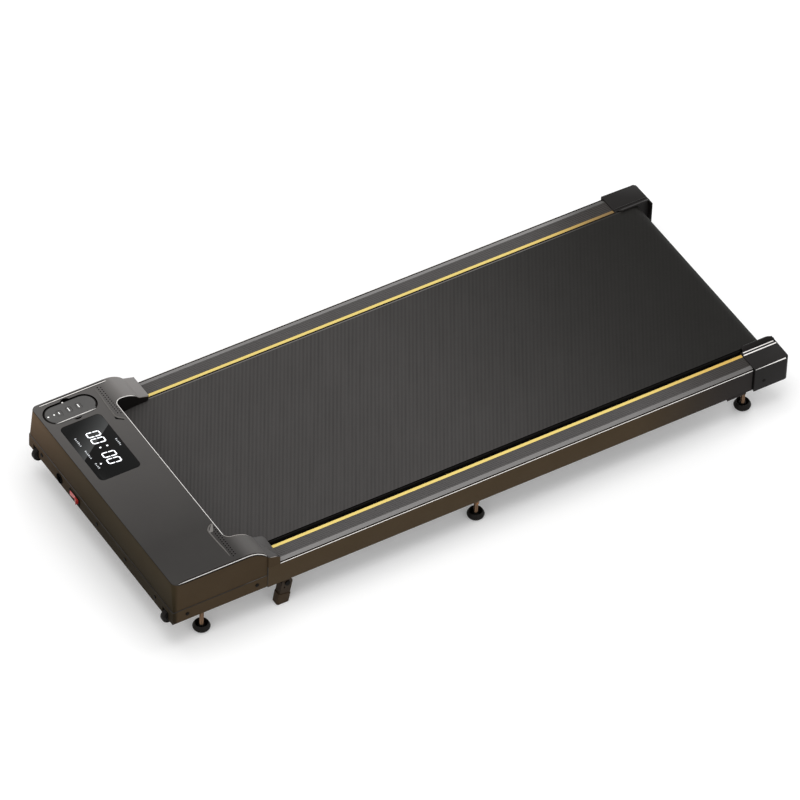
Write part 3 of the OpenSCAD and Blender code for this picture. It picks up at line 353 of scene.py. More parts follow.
def window_painted_reflection(tree: Tree, place: Socket, colour: Socket) -> Socket:
    """A painted reflection on the smoked film: paler on one side of a slanting line, and most beside the line.

    With g the distance from the line, the share of the pale colour is (1 - g / 52 mm)^1.6 on its front
    side and nought behind it.
    """
    x, y, _ = axes(tree, place)
    line_x, line_y, run, rise = -147.9, 100.1, 60.0, -83.2
    length = math.hypot(run, rise)
    soft, reach = 0.6 * MM, 52 * MM
    # Distance from the line, with its normal towards the left edge of the window.
    across = compute(tree, "MULTIPLY", x, rise / length)
    along = compute(tree, "MULTIPLY", y, -run / length)
    base = (line_x * rise / length + (line_y + FRONT_Y) * -run / length) * MM
    gap = compute(tree, "SUBTRACT", compute(tree, "ADD", across, along), base)
    near = compute(tree, "POWER", ramp(tree, gap, reach, 0.0), 1.6)
    return mix(tree, compute(tree, "MULTIPLY", ramp(tree, gap, -soft, soft), near), colour, linear("464747"))


# The pale grey of the painted sheen on the roof and the shoulders.
SHEEN_ABS = "7c7977"


class Palette:
    """Every finish of the pad.

    Each line gives the name, two colours, the roughness, the grain with its pitch and relief in
    millimetres, and what differs from the usual.
    """

    # ABS hood moulding, spark-eroded tool: a soft charcoal that hardly shines.
    HOOD_TOP = Finish(
        "abs_spark_textured_charcoal", "33312f", "2e2c2b", 0.55, Grain.MOULDED, 1.1, 0.03,
        specular=0.14, tint=roof_painted_sheen)
    # The shoulders: a paler copy of the hood's charcoal, as painted light.
    SHOULDER = Finish(
        "abs_spark_textured_painted_light_grey", "434140", "3d3b3a", 0.5, Grain.MOULDED, 1.1, 0.03, specular=0.16, tint=shoulder_painted_sheen)
    # The upright walls of the same moulding: black, with a painted warm reflection that gives them their bronze tone.
    HOOD_SIDE = Finish(
        "abs_black_painted_warm_reflection", "463a2b", "403426", 0.6, Grain.MOULDED, 1.1, 0.02, specular=0.03, tint=wall_painted_light)
    # Extruded rail. Its skirt carries the same painted warm reflection, and fades to charcoal as painted shade just
    # before the rear caps.
    RAIL_SIDE = Finish(
        "aluminium_black_painted_warm_reflection", "493d2d", "423627", 0.55, Grain.SPRAYED, 1.5, 0.02,
        specular=0.04, tint=fade_y(900, 1150, "2c2928"))
    # Foot rail top: a ribbed co-extruded tread, matt so that a shoe grips, and darker near the caps as painted shade.
    RAIL_TREAD = Finish(
        "tpe_coextruded_tread", "545251", "4c4a49", 0.7, Grain.BRUSHED_Y, 0.7, 0.02,
        specular=0.14, tint=fade_y(940, 1180, "363331"))
    # Sloped band beside the tread: pale satin anodising, darker towards the rear as painted shade. The left band is a
    # shaded copy that darkens more.
    RAIL_BAND = Finish(
        "aluminium_satin_anodised_grey", "7c7a79", "747271", 0.45, Grain.BRUSHED_Y, 0.5, 0.01,
        specular=0.25, patch_mm=120, tint=fade_y(850, 1180, "605e5d"))
    BAND_LEFT = Finish(
        "aluminium_satin_anodised_painted_shade", "777574", "706e6d", 0.45, Grain.BRUSHED_Y, 0.5, 0.01,
        specular=0.25, patch_mm=120, tint=fade_y(1030, 1150, "343230"))
    # Painted highlights: bright lines laid where edges catch the light; the brighter one also glows.
    EDGE = Finish(
        "edge_painted_highlight", "f0edea", "e2dfdb", 0.3, Grain.POLISHED, 3, 0, specular=0.6, glow=0.14)
    EDGE_SOFT = Finish("edge_painted_highlight_soft", "aba6a1", "9a9590", 0.35, Grain.POLISHED, 3, 0)
    # Low lips and ramps round the vents, painted paler as a highlight where they catch the light.
    LIP = Finish("abs_painted_highlight_grey", "625f5c", "5a5754", 0.5, Grain.MOULDED, 0.9, 0.01, specular=0.2)
    RAMP = Finish("abs_painted_highlight_pale_grey", "75726f", "6c6966", 0.5, Grain.MOULDED, 0.9, 0.01, specular=0.2)
    # Painted shade: a dark line along edges and grooves that lie in shadow.
    SHADE_LINE = Finish("abs_painted_shade_line", "1c1712", "17130f", 0.7, Grain.MOULDED, 0.9, 0.01, specular=0.05)
    # Rear caps: moulded nylon, nearly black.
    CAP = Finish("nylon_moulded_black", "1a1817", "161413", 0.4, Grain.MOULDED, 1.0, 0.015, specular=0.1)
    # Yellow PVC inlay, pressed into the rail. A glow paints extra light on it, its rear end turns a deeper amber as
    # painted shade, and the left inlay is a shaded copy, browner still.
    STRIP = Finish(
        "pvc_inlay_yellow", "dcc36e", "e2ca76", 0.4, Grain.BRUSHED_Y, 0.9, 0.02,
        specular=0.2, patch_mm=25, tint=fade_y(900, 1180, "c8a250"), glow=0.12)
    STRIP_LEFT = Finish(
        "pvc_inlay_yellow_painted_shade", "dcc36e", "e2ca76", 0.4, Grain.BRUSHED_Y, 0.9, 0.02,
        specular=0.2, patch_mm=25, tint=fade_y(1000, 1175, "6f5530", STRIP.tint), glow=0.05)
    # Belt: PVC with a rolled-in weave and woven polyester beneath. Its left border carries a painted highlight of its
    # rounded edge, which fades to painted shade at the rear.
    BELT = Finish(
        "pvc_belt_embossed_weave", "454342", "413f3e", 0.72, Grain.EMBOSSED, 2.4, 0.12,
        specular=0.1, patch_mm=90, tint=belt_painted_shade)
    # Painted highlight on the belt's left border, darker towards the rear as painted shade.
    BELT_RIM = Finish(
        "pvc_belt_painted_edge_highlight", "6a6766", "636160", 0.6, Grain.MOULDED, 2.4, 0.03,
        specular=0.1, tint=fade_y(950, 1150, "292725"))
    # Painted shadow: near black, put in gaps, recesses and vents where only shade falls.
    SHADOW_BLACK = Finish("painted_shadow_black", "080808", "060606", 0.9, Grain.SPRAYED, 1.0, 0.02, specular=0.04)
    WINDOW = Finish(
        "acrylic_smoked_polished", "0d0d0d", "0f0f0f", 0.16, Grain.POLISHED, 20, 0,
        specular=0.08, spread=0.02, tint=window_painted_reflection)
    LED = Finish("led_segment_white", "f6f8ff", "ffffff", 0.5, Grain.POLISHED, 5, 0, glow=0.9)
    LED_DIM = Finish("led_icon_pale", "b9bcc0", "c6c9cd", 0.5, Grain.POLISHED, 5, 0, glow=0.25)
    REMOTE = Finish("abs_fine_texture_grey", "565554", "504f4e", 0.55, Grain.MOULDED, 0.7, 0.015, specular=0.15)
    KEY = Finish("silicone_key_grey", "535251", "4e4d4c", 0.62, Grain.MOULDED, 0.6, 0.01, specular=0.14)
    # White print; the glow on it is painted light.
    PRINT = Finish("pad_printed_white_painted_glow", "f2f2f0", "e6e6e4", 0.5, Grain.POLISHED, 4, 0, glow=0.15)
    RUBBER = Finish("nitrile_rubber_moulded", "15120f", "110e0c", 0.5, Grain.MOULDED, 0.9, 0.02, specular=0.12)
    ZINC = Finish("steel_zinc_plated", "82796f", "6f665d", 0.28, Grain.SPRAYED, 1.2, 0.01, metallic=1.0)
    # Studs: zinc-plated steel with a painted warm reflection that turns it bronze.
    STUD = Finish("steel_zinc_painted_warm_reflection", "6d5745", "5e4a3a", 0.3, Grain.SPRAYED, 1.2, 0.01, metallic=1.0)
    COPPER = Finish("steel_chromate_passivated", "a8784f", "96683f", 0.3, Grain.SPRAYED, 1.2, 0.01, metallic=1.0)
    TURNED = Finish("steel_turned", "a9a9a8", "989897", 0.3, Grain.TURNED_X, 0.8, 0.02, metallic=1.0)
    IRON = Finish("cast_iron_turned_black", "38383a", "2c2c2e", 0.5, Grain.TURNED_X, 1.2, 0.03, metallic=0.8)
    POWDER = Finish("steel_powder_coated_black", "0f0e0d", "0c0b0a", 0.55, Grain.SPRAYED, 1.8, 0.03, specular=0.05)
    # Leg shoes and legs: black, with a painted warm reflection that gives them a bronze tone.
    SHOE = Finish("rubber_black_painted_warm_reflection", "3b2e20", "33281c", 0.6, Grain.MOULDED, 0.9, 0.02, specular=0.12)
    LEG = Finish("steel_black_painted_warm_reflection", "33281c", "2c2218", 0.5, Grain.SPRAYED, 1.6, 0.03, specular=0.12)
    MOTOR = Finish("steel_enamelled_black", "202022", "19191b", 0.4, Grain.SPRAYED, 2.0, 0.02)
    BOARD = Finish("glass_epoxy_green_mask", "14502c", "1b6437", 0.35, Grain.BRUSHED_X, 1.4, 0.02, patch_mm=12)
    SINK = Finish("aluminium_extruded", "b6b8ba", "a7a9ab", 0.38, Grain.BRUSHED_Y, 0.6, 0.01, metallic=1.0)
    DECK = Finish(
        "fibreboard_waxed_black", "0e0d0c", "12110f", 0.42, Grain.BRUSHED_Y, 1.2, 0.02, patch_mm=30, specular=0.05)
    CUSHION = Finish("polyurethane_cast_black", "1c1b1b", "242323", 0.6, Grain.MOULDED, 1.5, 0.03)
    ROCKER = Finish("pc_translucent_red", "b8332d", "a42a27", 0.3, Grain.POLISHED, 8, 0, coat=0.3)
    SCREW = Finish("steel_black_oxide", "0f0c09", "0c0a08", 0.5, Grain.TURNED_X, 0.6, 0.01, specular=0.05)
    # Fittings in the front wall: matt glass-filled nylon.
    FITTING = Finish("nylon_glass_filled_matt", "0e0c0a", "0b0a08", 0.65, Grain.MOULDED, 1.2, 0.02, specular=0.06)


# ---------------------------------------------------------------- surfaces


@dataclass
class Surface:
    """Points and faces of one surface, in millimetres."""

    points: Array
    faces: list[tuple[int, ...]]

    def __add__(self, other: "Surface") -> "Surface":
        """Both surfaces in one."""
        return joined([self, other])

    def flipped(self) -> "Surface":
        """The surface with its faces turned over."""
        return Surface(self.points, [f[::-1] for f in self.faces])

    def mirrored(self) -> "Surface":
        """The same surface on the other side of the pad, with its faces turned back to point outwards."""
        return Surface(self.points * [-1, 1, 1], self.faces).flipped()

    def on_side(self, side: int) -> "Surface":
        """The surface itself on the right, or its mirror image on the left."""
        return self if side == RIGHT else self.mirrored()

    def moved(self, shift: Sequence[float]) -> "Surface":
        """The surface moved by x, y and z."""
        return Surface(self.points + np.asarray(shift, float), self.faces)

    def turned(self, axis: str, degrees: float) -> "Surface":
        """The surface turned about an axis through the origin, by the right-hand rule."""
        turn = np.array(Matrix.Rotation(math.radians(degrees), 3, axis))
        return Surface(self.points @ turn.T, self.faces)


def joined(parts: Iterable[Surface]) -> Surface:
    """Put several surfaces into one."""
    points, faces, shift = [], [], 0
    for part in parts:
        points.append(part.points)
        faces += [tuple(i + shift for i in f) for f in part.faces]
        shift += len(part.points)
    return Surface(np.vstack(points), faces)


def ring_faces(rings: int, count: int, closed: bool) -> list[tuple[int, ...]]:
    """Quads between rings of points, each ring closed on itself.

    Args:
        rings: how many rings.
        count: how many points a ring has.
        closed: whether the last ring joins the first.

    Returns:
        Quads that face outwards where the rings run counter-clockwise and climb.
    """
    k, i = np.meshgrid(np.arange(rings if closed else rings - 1), np.arange(count), indexing="ij")
    up, on = (k + 1) % rings, (i + 1) % count
    quads = np.stack([k * count + i, k * count + on, up * count + on, up * count + i], -1)
    return [tuple(int(v) for v in q) for q in quads.reshape(-1, 4)]


def stack(rings: Array, caps: bool = True, closed: bool = False) -> Surface:
    """A surface through rings of points, as a profile carried along a path.

    Args:
        rings: array of rings by points by three.
        caps: whether the first and the last ring are filled.
        closed: whether the last ring joins the first.

    Returns:
        The surface.
    """
    count, each = rings.shape[:2]
    faces = ring_faces(count, each, closed)
    if caps and not closed:
        faces.append(tuple(range(each - 1, -1, -1)))
        faces.append(tuple(range((count - 1) * each, count * each)))
    return Surface(rings.reshape(-1, 3).astype(float), faces)


def lifted(outline: Array, z: Any) -> Array:
    """An outline in plan at one height, or with a height for each point."""
    return np.column_stack([outline, np.broadcast_to(z, (len(outline),))])


def extruded(section: Array, ys: Iterable[float]) -> Surface:
    """A section in x and z, counter-clockwise as seen from the front, carried along y."""
    x, z = section.T
    return stack(np.stack([np.column_stack([x, np.full(len(x), y), z]) for y in ys])).flipped()


def fillet(corners: Sequence[Sequence[float]], radii: float | Sequence[float], steps: int = 6) -> Array:
    """Round the corners of a closed outline.

    At each corner an arc of the given radius touches both sides. Its centre lies on the bisector at
    radius / sin(half angle) from the corner, and its ends at radius / tan(half angle).

    Args:
        corners: the outline's corners, counter-clockwise.
        radii: one radius for each corner, or one for all.
        steps: points on each arc, less one.

    Returns:
        The rounded outline.
    """
    p = np.asarray(corners, float)
    r = np.broadcast_to(np.asarray(radii, float), (len(p),))
    out: list[Array] = []
    for here, before, after, radius in zip(p, np.roll(p, 1, 0), np.roll(p, -1, 0), r):
        if radius <= 0:
            out.append(here[None])
            continue
        a, b = before - here, after - here
        a, b = a / np.linalg.norm(a), b / np.linalg.norm(b)
        half = math.acos(float(np.clip(a @ b, -1, 1))) / 2
        middle = (a + b) / np.linalg.norm(a + b)
        centre = here + middle * radius / math.sin(half)
        first, last = here + a * radius / math.tan(half) - centre, here + b * radius / math.tan(half) - centre
        start = math.atan2(first[1], first[0])
        sweep = math.atan2(first[0] * last[1] - first[1] * last[0], first @ last)
        t = start + sweep * np.linspace(0, 1, steps + 1)
        out.append(centre + radius * np.column_stack([np.cos(t), np.sin(t)]))
    return np.vstack(out)


def inward(outline: Array) -> Array:
    """Mitred normals of a counter-clockwise outline that point inwards.

    Moving each point by a distance times its normal moves every side by that distance.
    """
    after = np.roll(outline, -1, 0) - outline
    after = after / np.linalg.norm(after, axis=1, keepdims=True)
    before = np.roll(after, 1, 0)
    n0 = np.column_stack([-before[:, 1], before[:, 0]])
    n1 = np.column_stack([-after[:, 1], after[:, 0]])
    return (n0 + n1) / (1 + np.sum(n0 * n1, 1, keepdims=True))


def circle(radius: float, steps: int = 32) -> Array:
    """A counter-clockwise circle about the origin."""
    t = np.linspace(0, 2 * math.pi, steps, endpoint=False)
    return radius * np.column_stack([np.cos(t), np.sin(t)])


def pill(radius: float, length: float, steps: int = 24) -> Array:
    """A counter-clockwise outline with two straight sides along y and two half circles."""
    t = np.linspace(0, math.pi, steps + 1)
    end = radius * np.column_stack([np.cos(t), np.sin(t)]) + [0, length / 2 - radius]
    return np.vstack([end, -end])


def box_outline(width: float, depth: float, radius: float, steps: int = 6) -> Array:
    """A rectangle about the origin with round corners."""
    w, d = width / 2, depth / 2
    return fillet([(w, -d), (w, d), (-w, d), (-w, -d)], radius, steps)


def edge_levels(
    low: float, high: float, low_r: float, high_r: float, steps: int = 4
) -> list[tuple[float, float]]:
    """Heights and insets of a wall whose lower and upper edges are quarter circles.

    Args:
        low: height of the bottom.
        high: height of the top.
        low_r: radius of the lower edge.
        high_r: radius of the upper edge.
        steps: points on each quarter circle, less one.

    Returns:
        Pairs of height and inset, from the bottom to the top.
    """
    t = np.linspace(0, math.pi / 2, steps + 1)
    lower = [(low + low_r * (1 - math.cos(a)), low_r * (1 - math.sin(a))) for a in t]
    upper = [(high - high_r * (1 - math.sin(a)), high_r * (1 - math.cos(a))) for a in t]
    return lower + upper


def prism(outline: Array, levels: Sequence[tuple[float, float]], caps: bool = True) -> Surface:
    """An outline carried upwards, moved inwards by an inset at each level."""
    normals = inward(outline)
    return stack(np.stack([lifted(outline + normals * inset, z) for z, inset in levels]), caps)


def rounded_top(
    plan: Array, radius: Any, height: Callable[[Array], Any], turns: Iterable[float], end: Array, end_y: float
) -> list[Array]:
    """Rings of a quarter-round upper edge.

    At turn t the plan is drawn in by radius * (1 - cos t), and lies radius * (1 - sin t) below its height.

    Args:
        plan: the outline, counter-clockwise.
        radius: the edge's radius, for each point or for all.
        height: gives the height over a y.
        turns: angles from 0 to a quarter turn.
        end: which points belong to an end that meets another part.
        end_y: the y at which those points stay.

    Returns:
        The rings, from the lowest up.
    """
    normals = inward(plan)
    rings = []
    for turn in turns:
        flat = plan + normals * np.reshape(radius * (1 - math.cos(turn)), (-1, 1))
        flat[end, 1] = end_y
        rings.append(lifted(flat, height(flat[:, 1]) - radius * (1 - math.sin(turn))))
    return rings


def soft_block(low: Sequence[float], high: Sequence[float], radius: float, steps: int = 3) -> Surface:
    """A block between two corners with every edge rounded."""
    lo, hi = np.asarray(low, float), np.asarray(high, float)
    size, mid = hi - lo, (hi + lo) / 2
    outline = box_outline(size[0], size[1], radius, steps)
    return prism(outline, edge_levels(lo[2], hi[2], radius, radius, steps)).moved((mid[0], mid[1], 0))


def lathe(profile: Sequence[Sequence[float]], steps: int = 48, closed: bool = False) -> Surface:
    """Turn a profile of radius and height about the z axis.

    Args:
        profile: pairs of radius and height, climbing on the outside.
        steps: points around.
        closed: whether the profile is a loop, as on a ring.

    Returns:
        The surface, with its poles closed.
    """
    pairs = np.asarray(profile, float)
    unit = circle(1.0, steps)
    return stack(np.stack([lifted(r * unit, z) for r, z in pairs]), caps=False, closed=closed)


def thread(radius: float, pitch: float, low: float, high: float, depth: float, steps: int = 20) -> Surface:
    """A threaded rod along z.

    The height of a point is low + pitch * (turns), and its radius falls by depth between the crests,
    so the ring of points is a helix with a triangular profile.
    """
    rows = int((high - low) / pitch * 4) + 1
    z = np.linspace(low, high, rows)[:, None]
    angle = np.linspace(0, 2 * math.pi, steps, endpoint=False)[None]
    phase = (z / pitch - angle / (2 * math.pi)) % 1
    r = radius - depth * np.abs(2 * phase - 1)
    rings = np.stack([r * np.cos(angle), r * np.sin(angle), np.broadcast_to(z, r.shape)], -1)
    return stack(rings)


def bead(path: Sequence[Sequence[float]], radius: float, taper: int = 2, steps: int = 8) -> Surface:
    """A round bead along a path, thinner at both ends.

    Each ring lies square to the path: with w the way at a point, its axes are w x z and (w x z) x w.

    Args:
        path: points along the middle of the bead.
        radius: radius in millimetres.
        taper: number of points over which each end runs out.
        steps: number of points round the bead.

    Returns:
        The closed surface.
    """
    middle = np.asarray(path, float)
    way = np.gradient(middle, axis=0)
    way /= np.linalg.norm(way, axis=1)[:, None]
    side = np.cross(way, [0.0, 0.0, 1.0])
    side /= np.linalg.norm(side, axis=1)[:, None]
    up = np.cross(side, way)
    at = np.arange(len(middle))
    size = radius * np.clip((np.minimum(at, at[::-1]) + 0.5) / (taper + 0.5), 0, 1)
    a = np.linspace(0, 2 * math.pi, steps, endpoint=False)
    round_it = np.cos(a)[None, :, None] * side[:, None] + np.sin(a)[None, :, None] * up[:, None]
    return stack(middle[:, None] + size[:, None, None] * round_it).flipped()


def along_axis(surface: Surface, axis: str) -> Surface:
    """Turn a surface made along z so that its z becomes x or -y."""
    x, y, z = surface.points.T
    return Surface(np.column_stack([z, x, y] if axis == "x" else [x, -z, y]), surface.faces)


def screw_head(radius: float, height: float, steps: int = 48) -> Surface:
    """A low domed head with a cross recess, its seat at z = 0.

    The dome's height at share s of the radius is height * (1 - 0.55 s^4). The recess is sunk where the
    point lies within 0.14 of the radius of either axis, and inside 0.62 of the radius.
    """
    s = np.concatenate([np.linspace(0, 0.6, 10), [0.66, 0.8, 0.92, 1.0, 1.0]])[:, None]
    angle = np.linspace(0, 2 * math.pi, steps, endpoint=False)[None]
    x, y = s * np.cos(angle), s * np.sin(angle)
    arm = np.minimum(np.abs(x), np.abs(y))
    sunk = np.clip((0.14 - arm) / 0.05, 0, 1) * np.clip((0.62 - s) / 0.05, 0, 1)
    z = height * (1 - 0.55 * s**4) - sunk * height * 0.75
    z[-1] = 0.0
    return stack(np.stack([x * radius, y * radius, z], -1)[::-1], caps=False)


def inside(points: Array, outline: Array) -> Array:
    """Whether each point lies inside a closed outline, by counting crossings of a ray along +x."""
    x, y = points[:, 0][:, None], points[:, 1][:, None]
    x0, y0 = outline[:, 0][None], outline[:, 1][None]
    x1, y1 = np.roll(outline[:, 0], -1)[None], np.roll(outline[:, 1], -1)[None]
    crosses = (y0 > y) != (y1 > y)
    with np.errstate(divide="ignore", invalid="ignore"):
        at = x0 + (y - y0) * (x1 - x0) / (y1 - y0)
    return (np.sum(crosses & (x < at), 1) % 2) == 1


def plate(rim: Array, holes: Sequence[Array], rungs: Sequence[tuple[int, int]] = ()) -> tuple[Array, list]:
    """Fill an outline with triangles that face up, leaving its holes open.

    Args:
        rim: the outline in plan.
        holes: outlines of the holes.
        rungs: pairs of the rim's points that an edge of the plate has to join.

    Returns:
        The points in plan and the triangles.
    """
    loops = [rim, *holes]
    edges: list[tuple[int, int]] = []
    for loop in loops:
        start, n = len(edges), len(loop)
        edges += [(start + i, start + (i + 1) % n) for i in range(n)]
    made = delaunay_2d_cdt([Vector(p) for p in np.vstack(loops)], edges + list(rungs), [], 0, 1e-7)
    flat = np.array([tuple(v) for v in made[0]])
    triangles = np.array([tuple(f) for f in made[2]])
    centres = flat[triangles].mean(1)
    keep = inside(centres, rim)
    for hole in holes:
        near = np.all((centres > hole.min(0)) & (centres < hole.max(0)), 1) & keep
        keep[near] &= ~inside(centres[near], hole)
    triangles = triangles[keep]
    a, b, c = (flat[triangles[:, i]] for i in range(3))
    turn = (b[:, 0] - a[:, 0]) * (c[:, 1] - a[:, 1]) - (b[:, 1] - a[:, 1]) * (c[:, 0] - a[:, 0])
    triangles[turn < 0] = triangles[turn < 0][:, ::-1]
    return flat, [tuple(int(v) for v in t) for t in triangles]


def well(outline: Array, levels: Sequence[tuple[float, float]], floor: bool = True) -> Surface:
    """A sunk well: its rim is the outline, and its walls face inwards.

    Args:
        outline: the rim, counter-clockwise.
        levels: height and inset of each ring, from the top down.
        floor: whether the last ring is filled.

    Returns:
        The surface.
    """
    made = prism(outline, levels, caps=False)
    if floor:
        made.faces.append(tuple(range(len(made.points) - len(outline), len(made.points))))
    return made


# ---------------------------------------------------------------- pieces


@dataclass(frozen=True)
class Zone:
    """A test for faces: the middle lies between limits in millimetres, and so does the normal's z.

    On both sides alike, x is the distance from the pad's middle line.
    """

    x: tuple[float, float] = (-FAR, FAR)
    y: tuple[float, float] = (-FAR, FAR)
    z: tuple[float, float] = (-FAR, FAR)
    up: tuple[float, float] = (-FAR, FAR)
    both_sides: bool = True

    def __call__(self, middles: Array, normals: Array) -> Array:
        """Tell which faces lie in the zone."""
        x = np.abs(middles[:, 0]) if self.both_sides else middles[:, 0]
        tested = zip((x, middles[:, 1], middles[:, 2], normals[:, 2]), (self.x, self.y, self.z, self.up))
        return np.all([(low < values) & (values < high) for values, (low, high) in tested], axis=0)


@dataclass
class Piece:
    """One object of the scene.

    ``wall`` is the finish of faces that stand upright, and ``lines`` gives finishes by a test on the
    middle of each face, in millimetres.
    """

    name: str
    surface: Surface
    finish: Finish
    slot: str
    replaces: tuple[str, ...] = ()
    body: str = Body.PAD.value
    wall: Finish | None = None
    lines: tuple[tuple[Finish, FaceTest], ...] = ()
    sharp: float = 32.0

    def build(self) -> None:
        """Make the object, dress it and let it ride on its body."""
        mesh = bpy.data.meshes.new(self.name)
        points = (self.surface.points + [0, FRONT_Y, 0]) * MM
        mesh.from_pydata(points.tolist(), [], self.surface.faces)
        work = bmesh.new()
        work.from_mesh(mesh)
        bmesh.ops.remove_doubles(work, verts=work.verts, dist=2e-6)
        bmesh.ops.dissolve_degenerate(work, edges=work.edges, dist=1e-6)
        work.to_mesh(mesh)
        work.free()
        mesh.validate()
        finishes = [self.finish, *([self.wall] if self.wall else []), *(line[0] for line in self.lines)]
        for finish in finishes:
            mesh.materials.append(finish.build())
        count = len(mesh.polygons)
        normals, middles = np.empty(count * 3), np.empty(count * 3)
        mesh.polygons.foreach_get("normal", normals)
        mesh.polygons.foreach_get("center", middles)
        normals = normals.reshape(-1, 3)
        middles = middles.reshape(-1, 3) / MM - [0, FRONT_Y, 0]
        index = np.zeros(count, int)
        if self.wall:
            index[np.abs(normals[:, 2]) < 0.45] = 1
        for at, (_, test) in enumerate(self.lines, start=2 if self.wall else 1):
            index[test(middles, normals)] = at
        mesh.polygons.foreach_set("material_index", index.astype(np.int32))
        mesh.polygons.foreach_set("use_smooth", np.ones(count, bool))
        mesh.set_sharp_from_angle(angle=math.radians(self.sharp))
        thing = bpy.data.objects.new(self.name, mesh)
        bpy.context.scene.collection.objects.link(thing)
        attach(thing, self.body)
        if self.replaces:
            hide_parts(*self.replaces)
        LOG.info("%s: %d faces, rides on %s", self.name, count, self.body)


@dataclass
class Hood:
    """The hood with its wings, vents, remote bay and window, and the shoulders behind it."""

    top: float = 150.0
    seam: float = 84.85
    flare: float = 1.4
    depth: float = 135.0
    half: float = 247.0
    corner_r: float = 11.0
    corner_low: float = 2.0
    left_draft: float = 2.4
    wing_end: float = 184.8
    wing_in: float = 190.0
    bay_flare: float = 4.0
    bay_r: float = 12.0
    bay_z: float = 114.0
    curve_r: float = 51.4
    curve_run: float = 39.8
    edge_side: float = 4.6
    edge_left: float = 1.2
    edge_front: float = 1.2
    edge_bay: float = 1.5
    recess: tuple[float, float, float, float] = (-210.0, 58.0, 23.8, 102.6)
    recess_floor: float = 137.5
    notch_r: float = 10.5
    notch_reach: float = 4.6
    window: tuple[float, float, float, float, float] = (-104.0, 57.75, 147.4, 80.9, 9.2)

    def height(self, y: Array) -> Array:
        """Height of the roof: level, then a quarter-round drop of radius curve_r along the wings."""
        start = self.wing_end - self.curve_run
        run = np.clip(y - start, 0, self.curve_r * 0.999)
        return self.top - self.curve_r + np.sqrt(self.curve_r**2 - run**2)

    def outline(self, share: float = 1.0) -> Array:
        """Outline in plan, counter-clockwise from the middle of the front, with extra points on the wings.

        Args:
            share: 0 at the lower edge and 1 at the roof. The front corners grow rounder and the left wall
                leans in on the way up.

        Returns:
            The points, as many for every share.
        """
        w, r = self.half, self.corner_low + (self.corner_r - self.corner_low) * share
        far = w + self.left_draft * (1 - share)
        inner = self.wing_in + self.bay_flare
        front = fillet([(w, 0), (w, 100.0), (-far, 100.0), (-far, 0)], [r, 0, 0, r], 12)
        right_corner, left_corner = front[:13], front[-13:]
        ys = np.concatenate([np.linspace(self.corner_r + 12, 140, 9), np.linspace(145, self.wing_end, 14)])
        right = np.column_stack([np.full(len(ys), w), ys])
        bay_corners = [(inner, self.wing_end), (self.wing_in, self.depth)]
        bay_corners += [(-x, y) for x, y in bay_corners[::-1]]
        bay = fillet(bay_corners, [0, self.bay_r, self.bay_r, 0], 10)
        t = np.linspace(0, 1, 12)[1:-1, None]
        inner_right = bay[0] * (1 - t) + bay[1] * t
        middle = np.column_stack([np.linspace(170, -170, 35), np.full(35, self.depth)])
        arcs_right, arcs_left = bay[1:12], bay[12:23]
        inner_left = (inner_right * [-1, 1])[::-1]
        left = (right * [-far / w, 1])[::-1]
        side = w - self.corner_r - 12
        front_line = np.column_stack([np.linspace(-side, side, 40), np.zeros(40)])
        return np.vstack([
            front_line, right_corner, right, bay[:1], inner_right, arcs_right, middle, arcs_left, inner_left, bay[-1:],
            left, left_corner,
        ])

    def recess_outline(self) -> Array:
        """The remote's recess with its two finger notches, counter-clockwise about its own centre."""
        _, _, r, length = self.recess
        reach = r + self.notch_reach - self.notch_r
        half = math.sqrt(self.notch_r**2 - (r - reach) ** 2)
        ends = pill(r, length, 24)
        t = np.linspace(-math.asin(half / self.notch_r), math.asin(half / self.notch_r), 15)
        notch = np.column_stack([reach + self.notch_r * np.cos(t), 2 + self.notch_r * np.sin(t)])
        left = np.column_stack([-notch[:, 0], notch[::-1, 1]])
        return np.vstack([notch, ends[:25], left, ends[25:]])

    def vents(self) -> list[Array]:
        """Small round holes in two staggered rows beside each wing."""
        rows = ((159.5, 130.0), (162.2, 124.8))
        spots = [(side * (x + 5.45 * i), y) for x, y in rows for side in (LEFT, RIGHT) for i in range(14)]
        return [circle(1.25, 10) + np.array(spot) for spot in spots]

    def rings(self) -> Array:
        """Rings from the lower edge to the rim of the roof.

        A point's edge radius runs from the front's to the side's round the corners, and the wings' rear
        ends keep their sharp upper edge so that the shoulder carries on from them.
        """
        plan, low = self.outline(), self.outline(0.0)
        x, y = plan.T
        bay = (np.abs(x) < self.wing_in + self.bay_flare + 0.01) & (y > self.depth - 0.01)
        rear = y > self.wing_end - 0.01
        blend = np.clip((y - 1.0) / self.corner_r, 0, 1)
        side = np.where(x < 0, self.edge_left, self.edge_side)
        radius = np.where(bay, self.edge_bay, self.edge_front + (side - self.edge_front) * blend)
        bottom = np.where(bay, self.bay_z, self.seam)
        flare = low - inward(low) * np.where(bay | rear, 0.0, self.flare)[:, None]
        flare[:, 0] = np.clip(flare[:, 0], -250.3, 250.3)
        rows = [np.column_stack([flare, bottom])]
        for step, rise in ((flare, 0.5), (low, 0.9), (low, 1.5)):
            rows.append(np.column_stack([step, np.where(bay | rear, bottom + rise * 0.01, self.seam + rise)]))
        for share in (0.1, 0.25, 0.4, 0.55, 0.7, 0.85):
            level = rows[3][:, 2]
            rows.append(np.column_stack([self.outline(share), level + (self.height(y) - radius - level) * share]))
        turns = np.array([0.0, 0.22, 0.5, 0.7, 0.85, 1.0]) * math.pi / 2
        return np.stack(rows + rounded_top(plan, radius, self.height, turns, rear, self.wing_end))

